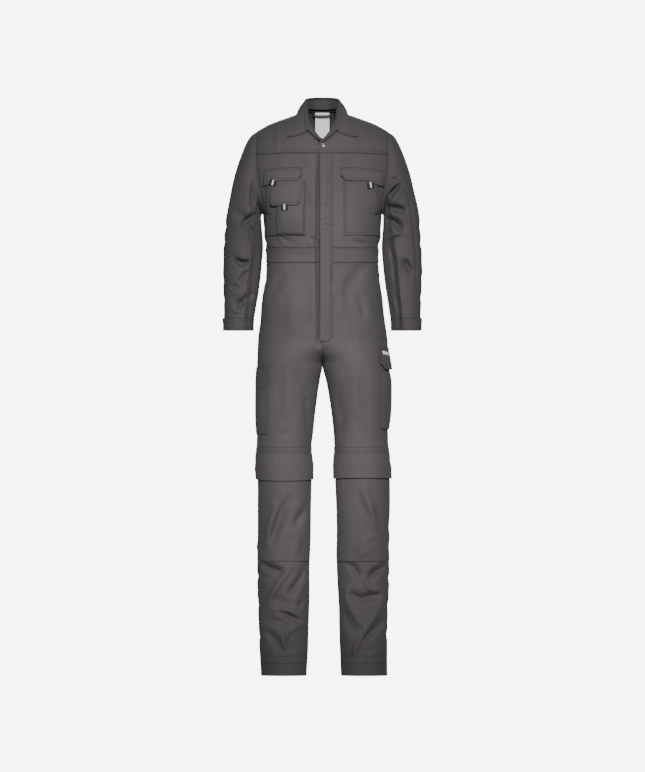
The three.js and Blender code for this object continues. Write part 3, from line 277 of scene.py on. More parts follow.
    ("right", "side", -5, 9, [(56, -1262), (24, -1290), (-12, -1322)]),
    ("right", "side", 4, 9, [(50, -1080), (20, -1130), (-20, -1150)]),
    ("right", "side", -4, 9, [(60, -1372), (24, -1384), (-14, -1372)]),
    ("left", "side", -4, 10, [(-36, -912), (2, -904), (38, -914)]),
    ("left", "side", -5, 9, [(-28, -1204), (10, -1222), (54, -1216)]),
    ("left", "side", -5, 9, [(-16, -1272), (20, -1298), (58, -1330)]),
    ("left", "side", 4, 9, [(-26, -1072), (6, -1120), (48, -1146)]),
    ("left", "side", -4, 9, [(-18, -1380), (22, -1374), (58, -1390)]),
]

CRISPNESS = 1.25
SIDES = {"right": -1, "left": 1}


def mix(a, b, t):
    return a + (b - a) * t


def smooth(value, start, end):
    t = np.clip((np.asarray(value, float) - start) / (end - start), 0, 1)
    return t * t * (3 - 2 * t)


def unit(vectors):
    return vectors / np.maximum(np.linalg.norm(vectors, axis=-1, keepdims=True), 1e-9)


def stack(*parts):
    return np.stack(np.broadcast_arrays(*parts), -1)


def curve(keys, values, at):
    """A smooth curve through a table's column."""
    k, v = np.array(keys, float), np.array(values, float)
    if k[0] > k[-1]:
        k, v = k[::-1], v[::-1]
    at = np.asarray(at, float)
    n = np.arange(len(k))
    before, after = np.maximum(n - 1, 0), np.minimum(n + 1, len(k) - 1)
    slope = (v[after] - v[before]) / (k[after] - k[before])
    i = np.clip(np.searchsorted(k, at, side="right") - 1, 0, len(k) - 2)
    span = k[i + 1] - k[i]
    t = np.clip((at - k[i]) / span, 0, 1)
    t2, t3 = t * t, t**3
    rise = (2 * t3 - 3 * t2 + 1) * v[i] + (3 * t2 - 2 * t3) * v[i + 1]
    return rise + span * ((t3 - 2 * t2 + t) * slope[i] + (t3 - t2) * slope[i + 1])


# How the cloth is folded and creased


def fold_push(fold, x, z):
    _, _, fx, fz, turn, length, width, depth = fold
    cos, sin = math.cos(math.radians(turn)), math.sin(math.radians(turn))
    along = ((x - fx) * cos + (z - fz) * sin) / (length / 2)
    across = ((z - fz) * cos - (x - fx) * sin) / width
    return depth * np.maximum(0, 1 - along**2) ** 2 * np.exp(-(across**2))


def crease_push(height, width, line, x, z):
    """A crease along a bent line. It is crisper on one side than on the other, and fades at both ends."""
    points = np.array(line, float)
    steps = np.linalg.norm(np.diff(points, axis=0), axis=1)
    total, walked = steps.sum(), 0.0
    near = np.full(np.shape(x), 1e9)
    signed, share = np.zeros(np.shape(x)), np.zeros(np.shape(x))
    for (ax, az), (bx, bz), step in zip(points, points[1:], steps):
        dx, dz = (bx - ax) / step, (bz - az) / step
        along = np.clip((x - ax) * dx + (z - az) * dz, 0, step)
        off_x, off_z = x - ax - along * dx, z - az - along * dz
        gone = np.hypot(off_x, off_z)
        closer = gone < near
        near = np.where(closer, gone, near)
        signed = np.where(closer, np.sign(off_z * dx - off_x * dz) * gone, signed)
        share = np.where(closer, (walked + along) / total, share)
        walked += step
    lean = np.where(signed > 0, 0.72, 1.25) * width
    body = np.exp(-((near / lean) ** 2)) - 0.22 * np.exp(-(((near - 2.1 * width) / width) ** 2))
    return height * body * (1 - np.abs(2 * share - 1) ** 2.5) ** 0.8


def creases_of(side, face, x, z, part=slice(None)):
    x, z = np.broadcast_arrays(np.asarray(x, float), np.asarray(z, float))
    push = np.zeros(x.shape)
    word = "right" if side < 0 else "left"
    for fold in FOLDS:
        if fold[:2] == (word, face):
            push = push + 1.3 * fold_push(fold, x, z)
    for crease in CREASES:
        if crease[:2] != (word, face):
            continue
        _, _, height, width, line = crease
        (low_x, low_z), (high_x, high_z) = np.min(line, 0) - 3.5 * width, np.max(line, 0) + 3.5 * width
        near = (x > low_x) & (x < high_x) & (z > low_z) & (z < high_z)
        if near.any():
            push = push.copy()
            push[near] += CRISPNESS * crease_push(height, width, line, x[near], z[near])
    return push


WAVES = np.random.default_rng(11).normal(size=(16, 3))
WAVES = unit(WAVES) * (2 * np.pi / np.linspace(48, 170, 16))[:, None]


def slack(points):
    """The gentle unevenness of cloth that hangs freely."""
    turns = points @ WAVES.T + np.arange(16) * 1.7
    return (np.sin(turns) * np.linspace(0.1, 0.42, 16)).sum(-1)


# The three surfaces that the cloth lies on: the shell of the body and legs, the shoulders, and the sleeves


def armhole_z(angle):
    return (ARMHOLE["top"] + ARMHOLE["low"]) / 2 + (ARMHOLE["top"] - ARMHOLE["low"]) / 2 * np.cos(np.radians(angle))


def armhole_x(z):
    share = (z - ARMHOLE["low"]) / (ARMHOLE["top"] - ARMHOLE["low"])
    return ARMHOLE["x"] + ARMHOLE["widen"] * smooth(share, 0, ARMHOLE["wide_at"])


def armhole_point(side, angle):
    z, sway = armhole_z(angle), np.sin(np.radians(angle))
    y = ARMHOLE["y"] - sway * np.where(sway > 0, ARMHOLE["front"], ARMHOLE["back"])
    return stack(side * armhole_x(z), y, z)


def underlap_depth(side, x, z):
    if side > 0:
        return 0.0 * x
    return UNDERLAP_DEPTH * smooth(-x, -19, -8) * smooth(z, FLY_Z - 11, FLY_Z + 6)


def section(side, is_front, z):
    word = "right" if side < 0 else "left"
    rise = FRONT_RISE_Z if is_front else BACK_RISE_Z
    under = np.clip((rise - z) / (rise - FORK_Z), 0, 1)
    under = under**2 * (3 - 2 * under)
    leg = smooth(z, -470, FORK_Z)
    square = mix(2.5, 2.15, leg)
    arm = smooth(z, ARMHOLE["low"], ARMHOLE["low"] + 90)
    roundness = mix(mix(2.15, 2.05, leg), 1.3, arm)
    turned = (1 - (1 - under**2) ** (roundness / 2)) ** (1 / square)
    split = 2 * turned / (1 + turned)
    inner = curve(SHELL["z"], SHELL["inner_" + word], z)
    middle, half = (ARMHOLE["top"] + ARMHOLE["low"]) / 2, (ARMHOLE["top"] - ARMHOLE["low"]) / 2
    reach = np.sqrt(1 - np.minimum(1, np.abs(z - middle) / half) ** 2)
    eased = np.where(z < middle, smooth(1 - np.abs(z - middle) / half, 0, 0.8), reach)
    loop, inner_loop = (ARMHOLE["y"] + r * (-ARMHOLE["front"] if is_front else ARMHOLE["back"]) for r in (reach, eased))
    high = z > ARMHOLE["low"]
    outer, edge = (curve(SHELL["z"], SHELL[name], z) for name in ("outer_" + word, "side"))
    outer_low, edge_low = (curve(SHELL["z"], SHELL[name], ARMHOLE["low"]) for name in ("outer_" + word, "side"))
    join = smooth(z, ARMHOLE["low"] - 60, ARMHOLE["low"])
    outer = np.where(high, armhole_x(z), outer + join * (ARMHOLE["x"] - outer_low))
    low_edge = edge + join * (ARMHOLE["y"] - edge_low)
    edge, inner_edge = np.where(high, loop, low_edge), np.where(high, inner_loop, low_edge)
    centre = split * (inner + outer) / 2
    peak = -curve(SHELL["z"], SHELL["front"], z) if is_front else curve(SHELL["z"], SHELL["back"], z)
    return inner, centre, outer - centre, (edge, inner_edge), peak, square, roundness


def shell_face(side, is_front, angle, z):
    _, centre, reach, (edge, inner_edge), peak, square, roundness = section(side, is_front, z)
    across = np.sin(np.radians(angle))
    edge = mix(inner_edge, edge, smooth(across, 0.62, 1.0))
    x = centre + reach * across
    fall = np.maximum(0, 1 - np.abs(across) ** square) ** (1 / roundness)
    y = edge + (peak - edge) * fall
    push = np.minimum(1, 1.4 * fall) * creases_of(side, "front" if is_front else "back", x, z)
    outside = smooth(across, 0.78, 0.97) * smooth(z, -250, -330)
    x = x + 0.4 * outside * creases_of(side, "side", y, z)
    y = y + underlap_depth(side, x, z) - push if is_front else y + push
    return stack(side * x, y, z)


def shell(side, angle, z):
    angle, z = np.broadcast_arrays(np.asarray(angle, float), np.asarray(z, float))
    is_front = np.cos(np.radians(angle)) >= 0
    points = np.empty(angle.shape + (3,))
    for face in (True, False):
        chosen = is_front == face
        if chosen.any():
            points[chosen] = shell_face(side, face, angle[chosen], z[chosen])
    return points


def angle_of(side, is_front, x, z):
    _, centre, reach, *_ = section(side, is_front, np.asarray(z, float))
    turn = np.degrees(np.arcsin(np.clip((x - centre) / reach, -1, 1)))
    return turn if is_front else 180 - turn


def shell_normal(side, angle, z):
    around = shell(side, np.minimum(179.5, angle + 0.5), z) - shell(side, np.maximum(-89.5, angle - 0.5), z)
    upward = shell(side, angle, z + 1) - shell(side, angle, z - 1)
    return unit(np.cross(around, upward) * side)


def inner_angle(side, is_front, z):
    overlap = PLACKET_EDGE if side > 0 else -UNDERLAP
    fly = smooth(z, FLY_Z + 6, FLY_Z + 24) if is_front else 0
    x = mix(section(side, is_front, z)[0], overlap, fly)
    return np.where(z <= FORK_Z, -90 if is_front else 270, angle_of(side, is_front, x, z))


def panel(side, is_front, share, z):
    seam = 90 + (-1e-6 if is_front else 1e-6)
    return shell(side, mix(inner_angle(side, is_front, z), seam, share), z)


def yoke_droop(height):
    return YOKE_DROOP * smooth(height, ARMHOLE["low"], YOKE_Z)


YOKE_HEIGHT = armhole_z(YOKE_ANGLE)
for _ in range(20):
    YOKE_HEIGHT = armhole_z(YOKE_ANGLE) + yoke_droop(YOKE_HEIGHT)


def top_edge(side, is_front, share, along):
    neck = NECK_FRONT if is_front else NECK_BACK
    q = np.clip(share / NECK_SHARE, 0, 1)
    x = side * curve(NECK_STEPS, neck["x"], q) + along * (1 - q) ** 4
    under = underlap_depth(side, side * x, NECK_FRONT["z"][0]) if is_front else 0
    at_neck = stack(x, curve(NECK_STEPS, neck["y"], q) + 2.6 * under, curve(NECK_STEPS, neck["z"], q))
    spread, start = np.sin(share * np.pi / 2), math.sin(NECK_SHARE * math.pi / 2)
    q = (spread - start) / (1 - start)
    x = mix(NECK_FRONT["x"][-1], armhole_x(ARMHOLE["top"]), q)
    beyond = stack(side * x, mix(NECK_FRONT["y"][-1], ARMHOLE["y"], q), curve(RIDGE_X, RIDGE_Z, x))
    return np.where((share <= NECK_SHARE)[..., None], at_neck, beyond)


def shoulder(side, is_front, share, rise):
    """rise is 0 at the yoke seam and 1 at the neckline and the shoulder seam."""
    share, rise = np.broadcast_arrays(np.asarray(share, float), np.asarray(rise, float))
    z = YOKE_HEIGHT - yoke_droop(YOKE_HEIGHT) * share**2
    low, below = panel(side, is_front, share, z), panel_below(side, is_front, share, z)
    top = top_edge(side, is_front, share, low[..., 0])
    length = np.linalg.norm(low - top, axis=-1, keepdims=True)
    leave = unit(low - below) * length
    at_neck = np.where(share <= NECK_SHARE, 1 - share / NECK_SHARE, 0)
    inward = (0.55 if is_front else 0.33) * np.sin(np.pi * np.minimum(1, share / NECK_SHARE))
    arrive = stack(
        -side * inward,
        mix(1, 0.35, at_neck) if is_front else -mix(1, 0.8, at_neck),
        mix(0.12, 0.9 if is_front else 0.6, at_neck),
    )
    arrive = unit(arrive) * length
    t = rise[..., None]
    t2, t3 = t * t, t**3
    point = low * (2 * t3 - 3 * t2 + 1) + top * (3 * t2 - 2 * t3)
    return point + leave * (t3 - 2 * t2 + t) + arrive * (t3 - t2)


def panel_below(side, is_front, share, z):
    seam = 90 + (-1e-6 if is_front else 1e-6)
    return shell(side, mix(inner_angle(side, is_front, z), seam, share), z - 8)


def shoulder_sheet(side, is_front, share, down):
    """The shoulder surface from its top edge down to the yoke seam, fitted to the armhole."""
    share, down = np.broadcast_arrays(np.asarray(share, float), np.asarray(down, float))
    turn = YOKE_ANGLE * down
    missed = armhole_point(side, turn if is_front else -turn) - shoulder(side, is_front, 1.0, 1 - down)
    return shoulder(side, is_front, share, 1 - down) + missed * share[..., None] ** 5


def shoulder_spot(side, is_front, share, rise):
    point = shoulder(side, is_front, share, rise)
    around = shoulder(side, is_front, share + 0.01, rise) - point
    upward = point - shoulder(side, is_front, share, rise - 0.01)
    return point, unit(np.cross(around, upward) * (side if is_front else -side))


def over_shoulder(side, is_front, x, z):
    """The shoulder surface's point and outward direction at a given x and z."""
    x, z = np.broadcast_arrays(np.asarray(x, float), np.asarray(z, float))

    def solve(reached):
        low, high = np.zeros(x.shape), np.ones(x.shape)
        for _ in range(15):
            middle = (low + high) / 2
            over = reached(middle)
            low, high = np.where(over, low, middle), np.where(over, middle, high)
        return (low + high) / 2

    def rise_for(share):
        return solve(lambda rise: shoulder(side, is_front, share, rise)[..., 2] > z)

    share = solve(lambda value: side * shoulder(side, is_front, value, rise_for(value))[..., 0] > x)
    return shoulder_spot(side, is_front, np.minimum(0.98, share), rise_for(share))


def sleeve_ring(side, ring, angle):
    at = ring - 1
    read = lambda name: SLEEVE[name][min(len(SLEEVE[name]) - 1, at)]
    if ring <= 0:
        return armhole_point(side, np.where(angle > 180, angle - 360, angle))
    share = (1 + np.cos(np.radians(angle))) / 2
    x, z = mix(read("inner_x"), read("outer_x"), share), mix(read("inner_z"), read("outer_z"), share)
    return stack(side * x, read("mid_y") - read("depth") * np.sin(np.radians(angle)), z)


def inner_turn(side, facing, lying, step):
    """How far the front of a sleeve falls back on the side that lies next to the body."""
    start = mix(-0.5, -0.34, smooth(step, 4, 9)) if side < 0 else mix(-0.42, -0.2, smooth(step, 4, 9))
    share = np.clip((start - lying) / 0.24, 0, 1)
    fall = share * share * (3 - 2 * share) * (1 - smooth(-lying, 0.93, 1))
    return 45 * fall * smooth(facing, 0, 0.35)


def sleeve(side, turn, down):
    """turn goes once round, from the shoulder forwards; down is 0 at the armhole and 1 at the cuff."""
    turn, down = np.broadcast_arrays(np.asarray(turn, float), np.asarray(down, float))
    angle, last = 360 * turn, len(SLEEVE["outer_x"])
    step = np.clip(last * down, 0, last)
    rings = np.stack([sleeve_ring(side, min(last, max(0, n)), angle) for n in range(-1, last + 2)])
    ring = np.minimum(last - 1, np.floor(step)).astype(int)
    t = (step - ring)[..., None]
    picked = [np.take_along_axis(rings, (ring + d)[None, ..., None], 0)[0] for d in range(4)]
    weights = [
        -0.5 * t + t**2 - 0.5 * t**3,
        1 - 2.5 * t**2 + 1.5 * t**3,
        0.5 * t + 2 * t**2 - 1.5 * t**3,
        -0.5 * t**2 + 0.5 * t**3,
    ]
    point = sum(w * p for w, p in zip(weights, picked))
    facing, lying = np.sin(np.radians(angle)), np.cos(np.radians(angle))
    ends = smooth(step, 1, 2.5) * smooth(step, last, last - 1)
    x, y, z = point[..., 0], point[..., 1], point[..., 2]
    y = y + inner_turn(side, facing, lying, step) * smooth(step, 0.3, 2.2)
    front, back = (creases_of(side, face, side * x, z) for face in ("front", "back"))
    away = np.sqrt(np.abs(facing)) * ends
    y_new = y - 1.8 * np.sign(facing) * away * np.where(facing > 0, front, back)
    outside = 0.35 * smooth(lying, 0.55, 0.95) * ends * creases_of(side, "side", y, z)
    return stack(x + side * outside, y_new, z)


# Cloth: a grid of lines over a surface, drawn close together beside seams and stitching

# How each kind of border is sewn: distances of its stitch rows, how far the cloth is raised there by the turned
# allowance, how deep it dips at the very edge, and how far it is turned in.
BORDERS = {
    "under": {"rows": (), "raised": 0.0, "dip": 1.1, "turned": 0},
    "felled": {"rows": (1.8, 8.2), "raised": 0.7, "dip": 0.9, "turned": 0},
    "lapped": {"rows": (1.9,), "raised": 0.6, "dip": 1.0, "turned": 0},
    "patch": {"rows": (1.8, 8.0), "raised": 0.5, "dip": 1.2, "turned": 0},
    "placket": {"rows": (1.8, 8.0, 15.6), "raised": 0.3, "dip": 0.9, "turned": 0},
    "rule_top": {"rows": (1.8, 8.0, 56.0, 59.5), "raised": 0.3, "dip": 0.9, "turned": 0},
    "band_top": {"rows": (1.8, 12.5, 18.0), "raised": 0.3, "dip": 0.9, "turned": 0},
    "cargo_top": {"rows": (2.0, 22.0), "raised": 0.3, "dip": 0.5, "turned": 12},
    "belt": {"rows": (2.6,), "raised": 0.6, "dip": 0.5, "turned": 0},
    "plain": {"rows": (), "raised": 0.0, "dip": 0.6, "turned": 0},
    "flap": {"rows": (2.0, 7.6), "raised": 0.35, "dip": 0.7, "turned": 7},
    "fold": {"rows": (), "raised": 0.0, "dip": 0.6, "turned": 7},
    "mouth": {"rows": (20.0,), "raised": 0.3, "dip": 0.2, "turned": 12},
    "cuff": {"rows": (2.0, 8.0), "raised": 0.3, "dip": 0.2, "turned": 12},
    "hem": {"rows": (34.0, 54.0), "raised": 0.3, "dip": 0.2, "turned": 16},
    "leaf": {"rows": (6.4,), "raised": 0.3, "dip": 0.6, "turned": 6},
}
WALL = 1.3  # how thick an edge looks


def close_lines(kind):
    places = [0, 0.6, 1.3, 2.6, 4.4] + [row + off for row in BORDERS[kind]["rows"] for off in (-0.8, 0, 0.8)]
    places += [row + off for row in BORDERS[kind]["rows"] for off in (2.2,)]
    kept = []
    for place in sorted(places):
        if not kept or place - kept[-1] > 0.35 or place in BORDERS[kind]["rows"]:
            if kept and place - kept[-1] <= 0.35 and kept[-1] > 0:
                kept.pop()
            kept.append(place)
    filled = [kept[0]]
    for place in kept[1:]:
        between = int((place - filled[-1]) // 5)
        filled += [filled[-1] + (place - filled[-1]) * k / (between + 1) for k in range(1, between + 1)]
        filled.append(place)
    return np.array(filled)


def places_across(widths, first, last, pitch, wraps):
    """Distances from the first border, one row for each of the widths."""
    widths = np.asarray(widths, float)[:, None]
    if wraps:
        count = int(round(widths.mean() / pitch))
        return widths * np.arange(count) / count, None, None
    near, far = close_lines(first), close_lines(last)
    room = np.percentile(widths, 35)
    near, far = near[near < 0.42 * room], far[far < 0.42 * room]
    count = max(2, int(round((widths.mean() - near[-1] - far[-1]) / pitch)))
    between = np.arange(1, count) / count
    squeeze = np.minimum(1, 0.46 * widths / max(near[-1], far[-1], 0.1))
    start, end = near[-1] * squeeze, widths - far[-1] * squeeze
    middle = start + (end - start) * between
    return np.hstack([near * squeeze, middle, (widths - far * squeeze)[:, ::-1]]), near, far


def walked(points, axis):
    steps = np.linalg.norm(np.diff(points, axis=axis), axis=-1)
    return np.concatenate([np.zeros_like(np.take(steps, [0], axis)), np.cumsum(steps, axis)], axis)


def lay_grid(surface, borders, pitch, wraps):
    """Lays the lines of a sheet at true distances from its borders."""
    fine, few = np.linspace(0, 1, 141), np.linspace(0, 1, 33)
    arc = walked(surface(fine[None, :], few[:, None]), 1)
    wanted, near_u, far_u = places_across(arc[:, -1], borders["first"], borders["last"], pitch, wraps)
    u = np.array([np.interp(w, a, fine) for w, a in zip(wanted, arc)])
    columns = u.shape[1]
    mean_u = u.mean(0)
    arc = walked(surface(mean_u[None, :], fine[:, None]), 0).T
    wanted, near_v, far_v = places_across(arc[:, -1], borders["top"], borders["bottom"], pitch, False)
    v = np.array([np.interp(w, a, fine) for w, a in zip(wanted, arc)]).T
    u = np.stack([np.interp(v[:, j], few, u[:, j]) for j in range(columns)], 1)
    return surface(u, v), (near_u, far_u, near_v, far_v)


def directions(grid, outward, wraps):
    if wraps:
        across = np.roll(grid, -1, 1) - np.roll(grid, 1, 1)
    else:
        across = np.gradient(grid, axis=1)
    return unit(np.cross(across, np.gradient(grid, axis=0)) * -outward)


def edge_distances(grid, wraps):
    down = walked(grid, 0)
    found = {"top": down, "bottom": down[-1:] - down}
    if not wraps:
        along = walked(grid, 1)
        found |= {"first": along, "last": along[:, -1:] - along}
    return found


def seam_relief(kind, away):
    style = BORDERS[kind]
    relief = style["raised"] * (1 - smooth(away, 9.5, 13)) - style["dip"] * np.exp(-((away / 1.1) ** 2))
    for row in style["rows"]:
        relief = relief - 0.55 * np.exp(-(((away - row) / 0.9) ** 2))
    return relief


def painted_seam_shade(kind, away):
    """Painted shade along stitching and in the seam itself, standing for the shade in their grooves, from 0 to 1."""
    style = BORDERS[kind]
    shade = 0.9 * style["dip"] * np.exp(-((away / 2.1) ** 2))
    for row in style["rows"]:
        shade = shade + 0.52 * np.exp(-(((away - row) / 1.15) ** 2))
    return np.minimum(shade, 1)


STITCH_LENGTH, STITCH_PITCH, STITCH_WIDTH = 2.5, 3.3, 0.42
stitches = {}


def sew(group, line, normals, closed=False, length=STITCH_LENGTH, pitch=STITCH_PITCH, trim=1.5, width=STITCH_WIDTH):
    """Threads one row of stitches along a line on the cloth."""
    if closed:
        line, normals = np.vstack([line, line[:1]]), np.vstack([normals, normals[:1]])
    arc = np.concatenate([[0], np.cumsum(np.linalg.norm(np.diff(line, axis=0), axis=1))])
    if arc[-1] < 2 * trim + length:
        return
    at = np.arange(trim + length / 2, arc[-1] - trim - length / 2, pitch)
    pick = lambda values, places: np.stack([np.interp(places, arc, values[:, k]) for k in range(3)], 1)
    normal = unit(pick(normals, at))
    ends = [pick(line, at + off) for off in (-length / 2, length / 2)]
    middle = pick(line, at)
    side = unit(np.cross(normal, unit(ends[1] - ends[0])))
    corners = [ends[0], ends[1], middle + side * width, middle - side * width]
    corners += [middle + normal * width, middle - normal * width * 0.6]
    stitches.setdefault(group, []).append(np.stack(corners, 1) + 0.12 * normal[:, None])


STITCH_FACES = [(0, 2, 4), (2, 1, 4), (1, 3, 4), (3, 0, 4), (2, 0, 5), (1, 2, 5), (3, 1, 5), (0, 3, 5)]


def make_mesh(name, points, faces, material, uv=None, edge=None, painted_shade=None):
    mesh = bpy.data.meshes.new(name)
    points = np.asarray(points, float).reshape(-1, 3)
    faces = np.asarray(faces)
    sides = faces.shape[1]
    mesh.vertices.add(len(points))
    mesh.vertices.foreach_set("co", (points * 0.001).ravel())
    mesh.loops.add(faces.size)
    mesh.loops.foreach_set("vertex_index", faces.ravel().astype(np.int32))
    mesh.polygons.add(len(faces))
    mesh.polygons.foreach_set("loop_start", (np.arange(len(faces)) * sides).astype(np.int32))
    mesh.update(calc_edges=True)
    mesh.validate()
    mesh.polygons.foreach_set("use_smooth", np.full(len(faces), True))
    if uv is not None:
        layer = mesh.uv_layers.new(name="cut")
        layer.data.foreach_set("uv", (uv.reshape(-1, 2)[faces.ravel()] * 0.001).ravel())
    if edge is not None:
        mesh.attributes.new("edge_mm", "FLOAT", "POINT").data.foreach_set("value", edge.ravel())
    # The attribute of painted shade, which darkens the twill's colour in seams, along stitching and beside the placket.
    if painted_shade is not None:
        mesh.attributes.new("painted_shade", "FLOAT", "POINT").data.foreach_set("value", painted_shade.ravel())
    mesh.materials.append(material)
    piece = bpy.data.objects.new(name, mesh)
    bpy.context.scene.collection.objects.link(piece)
    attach(piece, "root")
    return piece


def sew_on(group, surface, outward, path, lift=0.3, **how):
    """Threads stitches over a surface along a path of its own places."""
    path = np.array(path, float)
    count = max(12, 8 * len(path))
    share = np.linspace(0, len(path) - 1, count)
    u, v = (np.interp(share, range(len(path)), path[:, k]) for k in (0, 1))
    line = surface(u, v)
    across = surface(np.minimum(u + 0.004, 1), v) - surface(np.maximum(u - 0.004, 0), v)
    down = surface(u, np.minimum(v + 0.004, 1)) - surface(u, np.maximum(v - 0.004, 0))
    normals = unit(np.cross(across, down) * -outward)
    sew(group, line + lift * normals, normals, **how)


def grid_faces(rows, columns, wraps, outward):
    i, j = np.meshgrid(np.arange(rows - 1), np.arange(columns if wraps else columns - 1), indexing="ij")
    k = (j + 1) % columns
    corners = [i * columns + j, (i + 1) * columns + j, (i + 1) * columns + k, i * columns + k]
    faces = np.stack([c.ravel() for c in corners], 1)
    return faces if outward > 0 else faces[:, ::-1]


def turn_in(points, normals, others, depth, at_start, axis):
    """Adds the lines of an edge turned to the inside."""
    points, normals = np.moveaxis(points, axis, 0), np.moveaxis(normals, axis, 0)
    others = [np.moveaxis(o, axis, 0) for o in others]
    if not at_start:
        points, normals, others = points[::-1], normals[::-1], [o[::-1] for o in others]
    away = np.linalg.norm(points - points[:1], axis=-1).mean(1)
    count = max(1, int(np.searchsorted(away, depth + 1e-6)))
    count = min(count, len(points) // 2)
    inside = (points[:count] - WALL * normals[:count])[::-1]
    points = np.concatenate([inside, points])
    normals = np.concatenate([normals[:count][::-1], normals])
    others = [np.concatenate([o[:count][::-1], o]) for o in others]
    if not at_start:
        points, normals, others = points[::-1], normals[::-1], [o[::-1] for o in others]
    return np.moveaxis(points, 0, axis), np.moveaxis(normals, 0, axis), [np.moveaxis(o, 0, axis) for o in others]


def cloth(name, surface, cut, borders, outward=1, pitch=4.2, wraps=False, group="body", loose=1.0, material=None,
          puff=None, shade=None):
    """Makes the sheet that stands for a solid of the same name."""
    borders = dict(zip(("top", "bottom", "first", "last"), borders)) if not wraps else dict(
        zip(("top", "bottom"), borders), first="plain", last="plain"
    )
    grid, lines = lay_grid(surface, borders, pitch, wraps)
    normals = directions(grid, outward, wraps)
    away = edge_distances(grid, wraps)
    nearest = np.minimum.reduce(list(away.values()))
    push = loose * slack(grid) * smooth(nearest, 4, 30)
    # Painted shade: seams and stitch rows get a darker colour that stands for the shade in their grooves.
    painted_shade = np.zeros(nearest.shape)
    for side_name, distance in away.items():
        push = push + seam_relief(borders[side_name], distance)
        painted_shade = np.maximum(painted_shade, painted_seam_shade(borders[side_name], distance))
    if puff is not None:
        push = push + puff(grid, away)
    # Extra painted shade laid on the piece, such as the painted shadow beside the placket.
    if shade is not None:
        painted_shade = np.maximum(painted_shade, shade(grid))
    grid = grid + push[..., None] * normals
    normals = directions(grid, outward, wraps)
    near_u, far_u, near_v, far_v = lines
    for side_name, near, pick in (
        ("top", near_v, lambda k: (grid[k], normals[k])),
        ("bottom", far_v, lambda k: (grid[-1 - k], normals[-1 - k])),
        ("first", near_u, lambda k: (grid[:, k], normals[:, k])),
        ("last", far_u, lambda k: (grid[:, -1 - k], normals[:, -1 - k])),
    ):
        if near is None:
            continue
        for row in BORDERS[borders[side_name]]["rows"]:
            k = int(np.argmin(np.abs(near - row)))
            if abs(near[k] - row) < 0.4:
                line, upright = pick(k)
                sew(group, line, upright, closed=wraps and side_name in ("top", "bottom"))
    along = np.cumsum(np.linalg.norm(np.diff(grid, axis=1, prepend=grid[:, :1]), axis=-1), 1)
    uv = np.stack([along - along.mean(1, keepdims=True), -walked(grid, 0)], -1)
    for side_name, at_start, axis in (("top", True, 0), ("bottom", False, 0), ("first", True, 1), ("last", False, 1)):
        if wraps and axis == 1:
            continue
        depth = BORDERS[borders[side_name]]["turned"]
        grid, normals, (uv, nearest, painted_shade) = turn_in(grid, normals, [uv, nearest, painted_shade], depth, at_start, axis)
    rows, columns = grid.shape[:2]
    piece = make_mesh(
        name + "_cloth", grid, grid_faces(rows, columns, wraps, outward), material or twill, uv, nearest, painted_shade
    )
    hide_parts(name)
    return piece


# Materials


class Tap:
    """A socket that can be used in sums."""

    def __init__(self, tree, socket):
        self.tree, self.socket = tree, socket

    def sum(self, operation, a, b=None):
        return self.tree.node("ShaderNodeMath", {"operation": operation}, {0: a, 1: b})[0]

    def __add__(self, other):
        return self.sum("ADD", self, other)

    def __sub__(self, other):
        return self.sum("SUBTRACT", self, other)

    def __rsub__(self, other):
        return self.sum("SUBTRACT", other, self)

    def __mul__(self, other):
        return self.sum("MULTIPLY", self, other)

    def __truediv__(self, other):
        return self.sum("DIVIDE", self, other)

    def __pow__(self, other):
        return self.sum("POWER", self, other)

    def wave(self):
        return self.sum("SINE", self)

    def size(self):
        return self.sum("ABSOLUTE", self)

    def least(self, other):
        return self.sum("MINIMUM", self, other)

    def most(self, other):
        return self.sum("MAXIMUM", self, other)

    def fade(self, length):
        """1 at zero, falling away over a length."""
        return self.sum("EXPONENT", self * (-1.0 / length))

    def over(self, limit):
        return self.sum("GREATER_THAN", self, limit)

    __radd__, __rmul__ = __add__, __mul__


